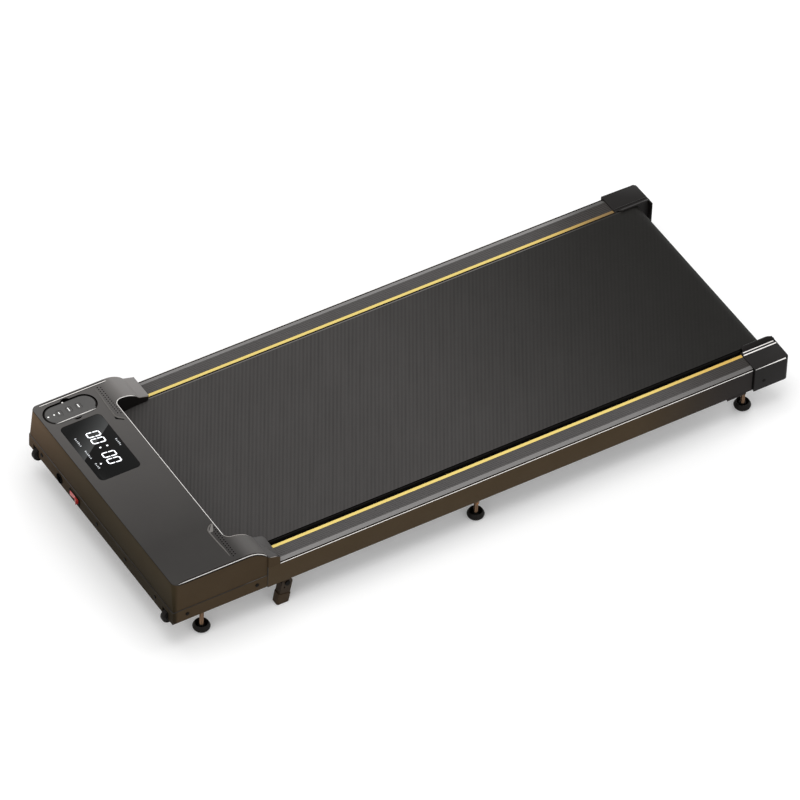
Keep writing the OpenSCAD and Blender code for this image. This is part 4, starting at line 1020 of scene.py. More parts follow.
    def roof(self, rim: Array) -> Surface:
        """Fill the roof inside the rim, leaving the recess, the window's seat and the vents open.

        The points are the rim and the holes' outlines, and the wings carry a rung between points that
        face each other so that the roof follows its curve.
        """
        cx, cy, _, _ = self.recess
        wx, wy, ww, wd, wr = self.window
        holes = [self.recess_outline() + [cx, cy], box_outline(ww, wd, wr, 6) + [wx, wy], *self.vents()]
        flat = rim[:, :2]
        rungs: list[tuple[int, int]] = []
        for side in (LEFT, RIGHT):
            x, y = flat[:, 0] * side, flat[:, 1]
            outer = np.where((x > self.half - 8) & (y > 144))[0]
            inner = np.where((x < self.wing_in + 9) & (x > 180) & (y > 148))[0]
            for i in outer[y[outer] < self.wing_end - 0.5]:
                j = int(inner[np.argmin(np.abs(y[inner] - y[i]))])
                if abs(y[j] - y[i]) < 3:
                    rungs.append((int(i), j))
        points, triangles = plate(flat, holes, rungs)
        return Surface(lifted(points, self.height(points[:, 1])), triangles)

    def recess_well(self) -> Surface:
        """The remote's recess: its notches end on a ledge 9 mm down, and its plain walls go on below."""
        cx, cy, r, _ = self.recess
        shape = self.recess_outline()
        plain = shape + [cx, cy]
        plain[:, 0] = np.clip(shape[:, 0], -r, r) + cx
        shape = shape + [cx, cy]
        ledge = self.top - 9.0
        rings = [lifted(shape, ledge), lifted(plain, ledge), lifted(plain, self.recess_floor)]
        sunk = stack(np.stack(rings), caps=False)
        sunk.faces.append(tuple(range(2 * len(shape), 3 * len(shape))))
        return well(shape, [(self.top, 0), (ledge, 0)], floor=False) + sunk

    def cover(self) -> Surface:
        """The hood's whole outer skin, with its wells."""
        rings = self.rings()
        wx, wy, ww, wd, wr = self.window
        seat = self.top - 2.0
        window = well(box_outline(ww, wd, wr, 6) + [wx, wy], [(self.top, 0), (seat, 0), (seat, 4)], floor=False)
        vents = [well(v, [(self.top, 0), (self.top - 2.2, 0.1)]) for v in self.vents()]
        return joined([stack(rings, caps=False), self.roof(rings[-1]), self.recess_well(), window, *vents])

    def lips(self) -> Surface:
        """The low ridge in front of each group of vents, which bends rearwards at its inner end."""
        x = np.array([237.0, 225.0, 208.0, 192.0, 176.0, 162.0, 156.0, 151.5, 147.5, 144.6, 142.8])
        y = np.array([119.4, 119.6, 118.9, 117.8, 117.2, 116.9, 118.0, 121.0, 125.0, 129.4, 133.0])
        path = np.column_stack([x, y, np.full(len(x), self.top - 0.55)])
        near = path + np.column_stack([np.interp(x, [142.8, 176.0], [5.0, 0.0]), np.zeros((len(x), 2))])
        return bead(near, 1.45, 2, 12) + bead(path, 1.45, 2, 12).mirrored()

    def inset(self, corners: Sequence[tuple[float, float]], radii: Sequence[float], proud: float) -> Surface:
        """A thin patch let into the roof, a few hundredths of a millimetre proud of it."""
        return prism(fillet(corners, radii, 4), [(self.top - 0.3, 0), (self.top + proud, 0)])

    def edge_paths(self) -> dict[str, Array]:
        """Paths of the painted highlight lines and of the painted shade lines beside them.

        On the rounded side edge a line lies at 45 degrees round it. The bay's line follows the bay's plan,
        drawn in by 0.44 mm, from one wing's rear end to the other's.
        """
        ys = np.concatenate([np.linspace(9, 140, 20), np.linspace(145, 184, 14)])
        z = self.height(ys)
        drop = self.edge_side * (1 - math.sin(math.pi / 4))
        right = np.column_stack([np.full(len(ys), self.half - drop), ys, z - drop])
        left = ys < 149
        plan = self.outline()
        normals = inward(plan)
        bay = np.abs(plan[:, 0]) < self.wing_in + self.bay_flare + 0.01
        bay &= (plan[:, 1] > self.depth - 0.01) & (plan[:, 1] < 178)
        rim = (plan + normals * 0.44)[bay]
        rim = lifted(rim, self.height(rim[:, 1]) - 0.44)
        crest = np.column_stack([np.zeros(left.sum()), ys[left], z[left]])
        return {
            "right": right,
            "right_dark": right + [1.3, 0, -2.0],
            "right_above": right + [-1.75, 0, 1.0],
            "left": crest + [-241.0, 0, -0.3],
            "left_dark": crest + [-243.4, 0, -0.6],
            "left_inner_dark": crest + [-239.2, 0, -0.55],
            "bay_bright": rim[rim[:, 0] < 184], "bay_soft": rim[rim[:, 0] > 178],
        }

    def shoulder(self) -> Surface:
        """The shoulder that carries the wing down to the rail.

        Its roof falls in a straight slope and ends in a small chamfer. Its inner rear corner is round in
        plan. Its outer upper edge is rounded by 3 mm, and its other upper edges by 1.6 mm.
        """
        y0, y1, outer = 185.0, 208.5, 250.0
        inner = self.wing_in + self.bay_flare
        plan = fillet([(outer, y0), (outer, y1), (inner, y1), (inner, y0)], [0, 1.0, 8.0, 0], 10)
        extra = np.linspace(y0, y1 - 1.2, 7)[1:-1]
        plan = np.vstack([plan[:1], np.column_stack([np.full(5, outer), extra]), plan[1:]])

        def roof(y: Array) -> Array:
            """A line from 130.3 to 124 at y = 205.5, then down to 121 at the rear."""
            return np.interp(y, [y0, 205.5, y1], [130.3, 124.0, 121.0])

        rail_top = np.interp(plan[:, 0], [206, 238.5, 247.5, 250], [107.1, 107.1, 105.1, 105.1])
        low = lifted(plan, np.where(plan[:, 0] < 206.2, self.bay_z, rail_top))
        radius = np.where(plan[:, 0] > 240, 3.0, 1.6)
        turns = np.linspace(0, math.pi / 2, 6)
        return stack(np.stack([low, *rounded_top(plan, radius, roof, turns, plan[:, 1] < y0 + 0.01, y0)]))

    def build(self) -> None:
        """Make the hood's pieces."""
        cx, cy, r, length = self.recess
        reach_x, reach_y = r + self.notch_reach + 0.3, length / 2 + 0.3
        bay_wall = Zone(x=(0, self.wing_in + self.bay_flare + 0.1), y=(self.depth - 0.1, FAR), up=(-FAR, 0.3))
        # The lower half of the front's rounded edge lies in shadow.
        front_edge = Zone(y=(-FAR, 1.3), z=(self.top - 1.4, FAR), up=(-FAR, 0.75))
        # Painted shadow: the remote's recess below its rim and the vents' bores are painted near black.
        sunk = Zone(
            x=(cx - reach_x, cx + reach_x), y=(cy - reach_y, cy + reach_y), z=(130, self.top - 0.05), both_sides=False)
        vent = Zone(x=(0, 236), y=(120, 134), z=(self.top - 3, self.top - 0.4))
        shoulder_wall = Zone(x=(0, 204), up=(-FAR, 0.3))
        Piece(
            "hood_moulding", self.cover(), Palette.HOOD_TOP, "cover_plastic", ("hood_cover", "remote_bay"),
            wall=Palette.HOOD_SIDE, sharp=35,
            lines=((Palette.CAP, bay_wall), (Palette.SHADE_LINE, front_edge), (Palette.SHADOW_BLACK, sunk), (Palette.SHADOW_BLACK, vent)),
        ).build()
        Piece("hood_lips", self.lips(), Palette.LIP, "cover_plastic", sharp=60).build()
        # A painted shadow stands for the slit beside the left ridge's inner end, and a painted highlight for the pale
        # ramp at the right ridge's.
        slit_shape = [(-157.5, 115.2), (-150.4, 114.2), (-141.4, 126.6), (-143.6, 127.4), (-150.2, 119.2)]
        slit = self.inset(slit_shape, [0.4, 1.5, 0.3, 0.3, 2], 0.05)
        Piece("hood_painted_slit_shadow", slit, Palette.SHADOW_BLACK, "fitting_black").build()
        ramp_shape = [(165.9, 116.0), (166.4, 124.2), (150.4, 132.2), (149.0, 130.6)]
        Piece("hood_ramp_highlight", self.inset(ramp_shape, [0.8, 0.8, 0.4, 0.4], 0.06), Palette.RAMP, "cover_plastic").build()
        # Painted highlights and painted shade lines along the hood's edges, laid on as thin beads.
        paths = self.edge_paths()
        for name, finish, radius in (
            ("right", Palette.EDGE, 0.5), ("right_dark", Palette.SHADE_LINE, 0.6), ("right_above", Palette.SHADE_LINE, 0.55),
            ("left", Palette.EDGE, 0.8), ("left_dark", Palette.SHADE_LINE, 0.95), ("left_inner_dark", Palette.SHADE_LINE, 0.7),
            ("bay_bright", Palette.EDGE, 0.6), ("bay_soft", Palette.EDGE_SOFT, 0.55),
        ):
            Piece(f"hood_painted_line_{name}", bead(paths[name], radius), finish, "cover_plastic", sharp=60).build()
        for side, name in SIDES:
            Piece(
                f"shoulder_moulding_{name}", self.shoulder().on_side(side), Palette.SHOULDER, "cover_plastic",
                (f"shoulder_{name}",), wall=Palette.HOOD_SIDE, sharp=35, lines=((Palette.CAP, shoulder_wall),),
            ).build()
        # A painted highlight along the right shoulder's outer edge.
        ys = np.linspace(186, 204, 8)
        tip = bead(np.column_stack([np.full(8, 248.9), ys, np.interp(ys, [185, 205.5], [129.2, 122.9])]), 0.5)
        Piece("shoulder_painted_highlight_right", tip, Palette.EDGE_SOFT, "cover_plastic", sharp=60).build()


@dataclass
class Display:
    """The smoked window with its digits and small status marks."""

    top: float = 150.0
    x: float = -104.0
    y: float = 57.75
    digit_w: float = 13.2
    digit_h: float = 25.0
    stroke: float = 2.1
    slant: float = 0.12
    low_y: float = 50.0
    digits: tuple[float, ...] = (-144.8, -128.0, -90.0, -73.2)

    def segment(self, centre: Sequence[float], length: float, upright: bool) -> Array:
        """One display segment: a bar with pointed ends."""
        h, w = length / 2, self.stroke / 2
        bar = np.array([(-h, 0), (-h + w, -w), (h - w, -w), (h, 0), (h - w, w), (-h + w, w)])
        if upright:
            bar = np.column_stack([-bar[:, 1], bar[:, 0]])
        return bar + np.asarray(centre)

    def zero(self, left: float) -> list[Array]:
        """The six segments of a nought whose lower left corner is at left."""
        w, h, s = self.digit_w, self.digit_h, self.stroke
        shapes = [self.segment((w / 2, y), w - s - 0.6, False) for y in (s / 2, h - s / 2)]
        shapes += [self.segment((x, h * y), h / 2 - s, True) for x in (s / 2, w - s / 2) for y in (0.27, 0.73)]
        return [np.column_stack([left + q[:, 0] + q[:, 1] * self.slant, self.low_y + q[:, 1]]) for q in shapes]

    def raised(self, outlines: Iterable[Array]) -> Surface:
        """Thin plates that stand 0.06 mm out of the window, as light through it."""
        return joined(prism(o, [(self.top - 0.25, 0), (self.top + 0.04, 0)]) for o in outlines)

    def build(self) -> None:
        """Make the window, the digits and the marks."""
        shape = box_outline(147, 80.5, 9, 8) + [self.x, self.y]
        film = prism(shape, edge_levels(148.05, 149.98, 0.2, 0.35, 3))
        Piece("display_window_plate", film, Palette.WINDOW, "window_black", ("display_window",)).build()
        shapes = [s for left in self.digits for s in self.zero(left)]
        shapes += [circle(1.7, 16) + np.array(p) for p in ((-103.0, 57.0), (-101.6, 70.0), (-68.3, 38.4))]
        Piece("display_digits", self.raised(shapes), Palette.LED, "").build()
        # Each mark is a row of short blocks, like an icon's bar graph.
        blocks = ((3.2, 0.3), (2.0, -0.4), (2.6, 0))
        bars = []
        for x0, x1, y in ((-143.1, -119.7, 29.5), (-108.5, -85.2, 30.2), (-73.7, -60.1, 30.6), (-109.5, -92.6, 91.0)):
            for i, x in enumerate(np.arange(x0, x1 - 1.0, 3.9)):
                height, shift = blocks[i % len(blocks)]
                bars.append(box_outline(2.0, height, 0.3, 2) + [x + 1.2, y + shift])
        Piece("display_icons", self.raised(bars), Palette.LED_DIM, "").build()


@dataclass
class Remote:
    """The lift-out remote control with its three keys and two lamps."""

    x: float = -210.0
    y: float = 58.0
    low: float = 137.8
    high: float = 149.8
    radius: float = 23.0
    length: float = 101.0
    edge: float = 4.4
    keys: tuple[tuple[str, float, float], ...] = (("mode", 37.0, 5.4), ("faster", 56.0, 9.0), ("slower", 75.0, 8.6))

    def shell(self) -> Surface:
        """The upper shell, with a shallow pocket where each key sits."""
        outline = pill(self.radius, self.length, 28)
        body = prism(outline, edge_levels(self.low + 1.6, self.high, 0.2, self.edge, 7), caps=False)
        body.faces.append(tuple(range(len(outline) - 1, -1, -1)))
        pockets = [box_outline(14.6, 10.6, 3.3, 5) + [0, y - self.y] for _, y, _ in self.keys]
        flat, triangles = plate(outline + inward(outline) * self.edge, pockets)
        wells = [well(pocket, [(self.high, 0), (self.high - 3.0, 0)]) for pocket in pockets]
        return self.placed(joined([body, Surface(lifted(flat, self.high), triangles), *wells]))

    def placed(self, surface: Surface) -> Surface:
        """Move a surface that is made about the remote's middle to its place."""
        return surface.moved((self.x, self.y, 0))

    def build(self) -> None:
        """Make the shell, the back, the keys, the lamps and the marks."""

        def shade_rim(c: Array, n: Array) -> Array:
            """A painted shadow ring round the remote's rounded top edge, which is left out beside the display."""
            rim = (n[:, 2] < 0.985) & (c[:, 2] > self.low)
            return rim & ~((c[:, 0] > self.x + 14) & (c[:, 1] > 20) & (c[:, 1] < 100) & (n[:, 2] > 0.35))

        remote = Body.REMOTE.value
        Piece(
            "remote_shell", self.shell(), Palette.REMOTE, "cover_plastic", ("remote_body",), remote,
            lines=((Palette.RUBBER, shade_rim),), sharp=40,
        ).build()
        # Painted highlights: a bright bead along the remote's top edge, and a bright dot in a finger notch.
        glint = bead(np.linspace((-190.1, 20.5, 149.55), (-190.1, 99.5, 149.55), 16), 0.6)
        notch_glint = lathe([(0, 147.2), (2.1, 147.2), (2.05, 149.0), (1.3, 149.85), (0, 150.0)], 20).moved((-230.6, 54.3, 0))
        Piece("remote_painted_highlights", glint + notch_glint, Palette.EDGE, "cover_plastic", body=remote, sharp=60).build()
        back = prism(pill(self.radius, self.length, 28), edge_levels(self.low, self.low + 1.5, 0.5, 0.1, 3))
        Piece(
            "remote_back_plate", self.placed(back), Palette.REMOTE, "cover_plastic", ("remote_back",), remote
        ).build()
        for name, y, width in self.keys:
            cap = prism(box_outline(14, 10, 3, 5), edge_levels(147.6, 149.8, 0.2, 0.5, 3)).moved((self.x, y, 0))
            button = f"{name}_button"
            Piece(f"{name}_key_cap", cap, Palette.KEY, "key_plastic", (f"{name}_key",), button).build()
            mark = prism(box_outline(width, 1.9, 0.6, 3), [(149.7, 0), (149.84, 0)]).moved((-210.8, y - 0.4, 0))
            Piece(f"{name}_key_mark", mark, Palette.PRINT, "", body=button).build()
        lamp = lathe([(0, 149.5), (1.7, 149.5), (1.7, 149.8), (0.9, 150.0), (0, 150.0)], 20)
        lamps = lamp.moved((-211.0, 15.5, 0)) + lamp.moved((-211.0, 27.0, 0))
        Piece("remote_lamps", lamps, Palette.PRINT, "", body=remote).build()


@dataclass
class Rails:
    """The rail covers with their inlays, and the rear caps."""

    start: float = 185.0
    end: float = 1167.8
    top: float = 107.0
    cap_y: float = 1168.0
    rear: float = 1240.0
    cap_out: float = 253.8
    cap_top: float = 108.2
    cap_low: float = 55.8

    def section(self) -> Array:
        """The rail's section in x and z, counter-clockwise, with rounded ribs and a bead.

        The ribbed band is 23.5 mm wide: its height falls by 0.8 mm in six grooves whose form is a raised
        cosine.
        """
        x = np.linspace(238.5, 215.0, 121)
        phase = (x - 215.0) / 23.5 * 6
        ribs = self.top - 0.8 * np.clip(np.cos(2 * math.pi * phase) * 1.6 - 0.6, 0, 1)
        ribs[[0, -1]] = self.top
        skirt = [
            (247.5, 103.0), (247.5, 58.0), (250.0, 58.0), (250.0, 105.0), (248.3, 105.0), (248.3, 103.9),
            (247.4, 103.9)]
        outer = np.vstack([
            fillet(skirt, [0, 0.3, 0.3, 0.7, 0.25, 0.1, 0.1], 4),
            [(247.4, 104.95), (247.32, 105.1), (247.15, 105.18), (246.3, 105.36)],
        ])
        inner = np.array([(214.5, 107.0), (214.5, 105.0), (206.0, 105.0), (206.0, 96.0), (207.5, 96.0), (207.5, 103.0)])
        return np.vstack([outer, np.column_stack([x, ribs]), inner])

    def rail(self) -> Surface:
        """The section carried along y."""
        ys = np.concatenate([[self.start, 209.0], np.linspace(300, self.end - 2.2, 8), [self.end]])
        return extruded(self.section(), ys)

    def inlay(self) -> Surface:
        """The yellow inlay: a flat strip with a soft crown 0.15 mm high."""
        x = np.concatenate([np.linspace(214.2, 208.0, 11), [206.1]])
        crown = self.top - 0.15 + 0.15 * np.cos((x - 210.15) / 8.1 * math.pi)
        plan = np.vstack([[(206.1, 105.05), (214.2, 105.05)], np.column_stack([x, crown])])
        return extruded(plan, np.linspace(208.8, 1167.6, 5))

    def cap(self) -> Surface:
        """The rear cap: a rounded block with a lip behind the belt.

        Its upper edge is rounded more outside than elsewhere. Its lower edge is at z = 60 on the lip, at 98.5
        beside the belt, and at cap_low everywhere else.
        """
        corners = [
            (self.cap_out, self.cap_y), (self.cap_out, self.rear), (194.0, self.rear), (194.0, 1237.4), (204.0, 1236.0),
            (204.0, self.cap_y)]
        plan = fillet(corners, [0.6, 8.0, 0.8, 0.8, 2.0, 0.6], 10)
        x, y = plan.T
        low = np.where(x < 206.6, np.where(y > 1231.9, 60.0, 98.5), self.cap_low)
        upper_edge = np.where(x > 240, 2.4, np.where(x < 203, 0.6, 1.2))
        radius = np.where(y < self.cap_y + 0.7, 0.5, upper_edge)
        turns, free = np.linspace(0, math.pi / 2, 6), np.zeros(len(plan), bool)
        rings = rounded_top(plan, radius, lambda _: self.cap_top, turns, free, 0.0)
        return stack(np.stack([lifted(plan, low), *rings]))

    def hump(self) -> Surface:
        """The raised inner part of a cap, which reaches over the belt's edge.

        A section in x and z is carried along y. Towards both ends its inner side draws back to x = 206 by
        the factor sqrt(1 - (1 - d / r)^2), with d the distance from the end and r the end's radius.
        """
        section = np.array([
            (209.5, 107.9), (207.4, 108.25), (205.9, 109.2), (203.4, 112.6), (201.4, 114.8), (199.3, 115.8),
            (197.8, 115.7), (197.0, 115.0), (196.9, 114.2), (197.4, 113.6), (203.6, 113.6), (204.3, 112.4),
            (204.3, 107.9),
        ])[::-1]
        start, end = 1172.0, 1238.5
        ys = np.concatenate([
            start + 8 * (1 - np.cos(np.linspace(0.25, math.pi / 2, 9))),
            np.linspace(1184, 1222, 5),
            end - 14 * (1 - np.cos(np.linspace(math.pi / 2, 0.2, 9))),
        ])
        rings = []
        for y in ys:
            gap = min((y - start) / 8, (end - y) / 14, 1.0)
            pull = math.sqrt(max(0.0, 1 - (1 - gap) ** 2))
            x = np.where(section[:, 0] < 206, 206 - (206 - section[:, 0]) * pull, section[:, 0])
            z = np.where(section[:, 1] > 108.3, 108.3 + (section[:, 1] - 108.3) * (0.35 + 0.65 * pull), section[:, 1])
            rings.append(np.column_stack([x, np.full(len(x), y), z]))
        return stack(np.stack(rings))

    def ridges(self) -> Surface:
        """Two fine beads along the top of a cap, with a groove's shadow between them."""
        parts = []
        for x, y0, y1 in ((206.6, 1172.4, 1235.5), (213.0, 1170.0, 1237.3)):
            a = np.linspace(0, math.pi, 9)
            section = np.column_stack([x + 1.3 * np.cos(a), self.cap_top - 0.05 + 0.8 * np.sin(a)])
            parts.append(extruded(section, np.linspace(y0, y1, 5)))
        return joined(parts)

    def build(self) -> None:
        """Make the rails, inlays and caps of both sides."""
        # From the belt outwards: the inlay's border in painted shadow, the tread, the band, the groove as a painted
        # shade line, and the skirt's edge as a painted highlight.
        channel, tread = Zone(x=(0, 207.9)), Zone(x=(0, 238.5), z=(95, FAR))
        band, groove = Zone(x=(238.5, 246.4), z=(104.5, FAR)), Zone(x=(246.4, 248.7), z=(103.5, FAR))
        rim = Zone(x=(249.0, FAR), y=(209, FAR), z=(104.4, FAR))
        # The rail's last two millimetres lie in the shadow of the cap.
        shut = Zone(y=(self.end - 2.1, FAR), z=(-FAR, 106))
        # A painted highlight on the cap's rounded outer edge.
        cap_edge = Zone(x=(251.2, FAR), y=(self.cap_y + 1, 1229), up=(0.42, 0.93))
        tab = soft_block((247.7, 1116.0, 53.4), (250.0, 1155.0, 59.5), 0.3)
        # The left side takes shaded copies of the band and the inlay; only the right cap's beads carry a painted
        # highlight.
        looks = {
            LEFT: (Palette.BAND_LEFT, Palette.STRIP_LEFT, Palette.CAP),
            RIGHT: (Palette.RAIL_BAND, Palette.STRIP, Palette.EDGE),
        }
        for side, name in SIDES:
            slope, strip, beads = looks[side]
            lines = (
                (Palette.RAIL_TREAD, tread), (slope, band), (Palette.SHADE_LINE, groove), (Palette.EDGE, rim),
                (Palette.SHADOW_BLACK, shut),
            )
            for piece in (
                Piece(
                    f"rail_extrusion_{name}", self.rail(), Palette.RAIL_SIDE, "rail_plastic", (f"rail_cover_{name}",),
                    lines=lines, sharp=50),
                Piece(
                    f"inlay_{name}", self.inlay(), strip, "strip_yellow", (f"trim_strip_{name}",),
                    lines=((Palette.SHADOW_BLACK, channel),)),
                Piece(
                    f"rear_cap_{name}", self.cap(), Palette.CAP, "cover_plastic", (f"end_cap_{name}",),
                    lines=((Palette.EDGE, cap_edge),), sharp=40),
                Piece(f"rear_cap_hump_{name}", self.hump(), Palette.CAP, "cover_plastic", sharp=60),
                Piece(f"rail_tab_{name}", tab, Palette.RAIL_SIDE, "rail_plastic"),
                Piece(f"rear_cap_beads_{name}", self.ridges(), beads, "cover_plastic"),
            ):
                piece.surface = piece.surface.on_side(side)
                piece.build()


@dataclass
class RunningBelt:
    """The belt: a closed loop round both rollers."""

    front_y: float = 118.0
    rear_y: float = 1197.0
    axis_z: float = 90.9
    inner_r: float = 20.3
    thick: float = 1.6
    half: float = 200.5

    def path(self, radius: float) -> Array:
        """The loop at a radius, in y and z: two straight runs and two half circles."""
        t = np.linspace(-math.pi / 2, math.pi / 2, 33)
        rear = np.column_stack([self.rear_y + radius * np.cos(t), self.axis_z + radius * np.sin(t)])
        front = np.column_stack([self.front_y - radius * np.cos(t), self.axis_z - radius * np.sin(t)])
        back = np.column_stack([np.linspace(self.rear_y, self.front_y, 42)[1:-1], np.full(40, self.axis_z + radius)])
        under = np.column_stack([np.linspace(self.front_y, self.rear_y, 42)[1:-1], np.full(40, self.axis_z - radius)])
        return np.vstack([rear, back, front, under])

    def build(self) -> None:
        """Make the belt with rounded edges.

        The section across the belt is a flat rectangle with 0.4 mm corners, so each ring of points is the
        loop at one radius and one x.
        """
        edge, half, top = 0.4, self.half, self.thick
        section = [
            (-half, edge), (edge - half, 0), (half - edge, 0), (half, edge), (half, top - edge), (half - edge, top),
            (3.0 - half, top), (1.0 - half, top), (edge - half, top), (-half, top - edge),
        ]
        loops = [(x, self.path(self.inner_r + up)) for x, up in section]
        rings = np.stack([np.column_stack([np.full(len(loop), x), loop]) for x, loop in loops])

        # Both cut edges are painted black, as the shadow in the gaps beside the rails.
        cut = Zone(x=(half - 0.6, FAR))
        # The left border carries a painted highlight along its rounded edge.
        edge_highlight = Zone(x=(1.05 - half, 2.9 - half), z=(self.axis_z + self.inner_r, FAR), both_sides=False)
        Piece(
            "belt_loop", stack(rings, caps=False, closed=True).flipped(), Palette.BELT, "belt_black", ("running_belt",),
            lines=((Palette.SHADOW_BLACK, cut), (Palette.BELT_RIM, edge_highlight)),
        ).build()


@dataclass
class Footing:
    """Feet, fold-out legs and transport wheels."""

    foot_x: float = 229.0
    rows: tuple[tuple[str, float, float], ...] = (("front", 67.0, 62.0), ("mid", 615.0, 62.0), ("rear", 1164.0, 50.0))
    leg_x: float = 239.0
    leg_y: float = 225.6
    leg_z: float = 46.5
    lean: float = math.tan(math.radians(10))
    wheel: tuple[float, float, float, float] = (223.0, 5.0, 58.0, 14.0)

    def cup(self) -> Surface:
        """A rubber cup: a flat base, its widest girth below the middle, and a hollow top."""
        outer = [
            (0, 0.0), (10.2, 0.0), (11.6, 0.3), (13.4, 1.4), (14.8, 3.2), (15.6, 5.2), (15.8, 6.6), (15.5, 7.8),
            (14.2, 10.4), (13.0, 12.6), (12.4, 13.6), (11.8, 14.0)]
        inner = [
            (11.2, 13.8), (10.8, 12.8), (10.0, 9.6), (8.8, 6.6), (7.0, 5.9), (6.6, 6.4), (6.4, 11.2), (5.9, 11.8),
            (4.2, 11.9), (4.1, 5.7), (0, 5.65)]
        return lathe(outer + inner, 56)

    def stud(self, nut_z: float, nut_h: float) -> Surface:
        """The threaded stud with its hexagonal lock nut, whose corners are chamfered."""
        rod = thread(4.0, 1.25, 5.7, 78.9, 0.55)
        across = fillet([(6.6 * math.cos(a), 6.6 * math.sin(a)) for a in np.arange(6) * math.pi / 3], 0.5, 2)
        nut = prism(across, [(nut_z - nut_h, 0.8), (nut_z - nut_h + 0.5, 0), (nut_z - 0.5, 0), (nut_z - 0.02, 0.8)])
        low = nut_z - nut_h - 4.0
        flange = lathe([(0, low), (5.0, low), (5.4, low + 0.4), (5.4, low + 3.7), (0, low + 3.9)], 32)
        return joined([rod, nut, flange])

    def leg_section(self, y: float, z: float, grow: float) -> Array:
        """A ring of the leg's tube at a place along it."""
        ring = box_outline(15.0 + 2 * grow, 21.0 + 2 * grow, 2.0 + grow, 5)
        return np.column_stack([ring[:, 0] + self.leg_x, ring[:, 1] + y, np.full(len(ring), z)])

    def shin(self, z: float) -> float:
        """Where the leg's middle line is at a height."""
        return self.leg_y - (self.leg_z - z) * self.lean

    def cap(self) -> Surface:
        """The rubber cap: flat on the floor, square to the leg on top, with a raised collar."""
        rings = []
        levels = ((0.6, 0.6, 0), (1.4, 1.6, 0), (9.0, 1.6, 0.4), (17.0, 1.6, 0.9), (21.0, 1.6, 1.0), (21.9, 0.9, 1.0))
        for z, grow, tilt in levels:
            ring = self.leg_section(self.shin(z), z, grow)
            ring[:, 2] -= (ring[:, 1] - self.shin(z)) * self.lean * tilt
            rings.append(ring)
        return stack(np.stack(rings))

    def tyre(self) -> Surface:
        """A transport wheel about x: hub, web and rim with a rounded tread."""
        _, _, _, r = self.wheel
        side = [
            (3.05, -5.0), (7.4, -5.0), (8.2, -4.2), (10.9, -3.9), (11.5, -4.8), (12.6, -5.0), (13.5, -4.4), (r, -3.2)]
        return lathe(side + [(a, -b) for a, b in side[::-1]], 64, closed=True)

    def build(self) -> None:
        """Make the feet, the legs' shoes and the wheels."""

        def flange(c: Array, n: Array) -> Array:
            """The studs' outermost faces, above the cup."""
            return (c[:, 2] > 14) & (np.abs(np.abs(c[:, 0]) - self.foot_x) > 5.0)

        for where, y, nut_z in self.rows:
            for side, name in SIDES:
                body = f"foot_{where}_{name}"
                at = (self.foot_x * side, y, 0)
                cup, stud = self.cup().moved(at), self.stud(nut_z, 26.0 if where == "mid" else 5.0).moved(at)
                Piece(
                    f"cup_{where}_{name}", cup, Palette.RUBBER, "foot_rubber", (f"foot_cup_{where}_{name}",), body
                ).build()
                Piece(
                    f"stud_{where}_{name}", stud, Palette.STUD, "zinc_steel", (f"foot_stud_{where}_{name}",), body,
                    lines=((Palette.COPPER, flange),),
                ).build()
        for side, name in SIDES:
            shoe, tyre = self.cap(), along_axis(self.tyre(), "x").moved(self.wheel[:3])
            Piece(
                f"leg_shoe_{name}", shoe.on_side(side), Palette.SHOE, "foot_rubber", (f"leg_cap_{name}",),
                f"leg_assembly_{name}",
            ).build()
            Piece(
                f"transport_tyre_{name}", tyre.on_side(side), Palette.RUBBER, "fitting_black", (f"wheel_{name}",),
                f"transport_wheel_{name}",
            ).build()


@dataclass
class Fasteners:
    """Cross-recessed screws in the skirts and the caps, and the power inlet and switch."""

    front_y: float = -1.5
    side_x: float = 248.5
    screw_r: float = 3.4
    front: tuple[float, ...] = (-203.0, -11.0, 86.0, 188.0)
    sides: tuple[float, ...] = (27.0, 164.0)
    screw_z: float = 73.0

    def build(self) -> None:
        """Make the screws and the power fittings."""
        head = screw_head(self.screw_r, 1.2)
        parts = [along_axis(head, "-y").moved((x, self.front_y, self.screw_z)) for x in self.front]
        outward = along_axis(head, "x")
        for side in (LEFT, RIGHT):
            parts += [outward.moved((self.side_x, y, self.screw_z)).on_side(side) for y in self.sides]
            low = along_axis(screw_head(self.screw_r, 0.2), "x").moved((253.8, 1188.5, 73.8))
            parts.append(low.on_side(side))
        Piece("skirt_screws", joined(parts), Palette.SCREW, "screw_black").build()
        self.inlet()
        self.switch()

    def inlet(self) -> None:
        """The round inlet: a bezel ring with a soft edge and a bore with a dark floor."""
        profile = [
            (0, -12.0), (6.0, -12.0), (6.0, -1.0), (6.4, -0.6), (9.2, -0.6), (9.8, -1.0), (10.0, -1.6), (10.0, -1.8)]
        ring = along_axis(lathe(profile, 56), "-y").moved((-140.5, self.front_y - 1.8, 71.0))
        Piece("power_inlet_ring", ring, Palette.FITTING, "fitting_black").build()

    def switch(self) -> None:
        """The rocker: a shallow V with soft edges, tilted about its pins."""
        w, h, tilt = 13.4, 5.2, -9.0
        arc = np.linspace(-w, w, 15)
        front = np.column_stack([arc, -2.6 - 3.4 * (np.abs(arc) / w) ** 1.1])
        shape = np.vstack([front, [(w - 1.5, 3.4), (-w + 1.5, 3.4)]])
        cap = prism(shape, edge_levels(-h, h, 0.5, 0.5, 3)).turned("Z", tilt).moved((-88.0, 0.5, 71.0))
        Piece("rocker_cap", cap, Palette.ROCKER, "switch_red", ("rocker_switch",), Body.ROCKER.value).build()


# ---------------------------------------------------------------- studio


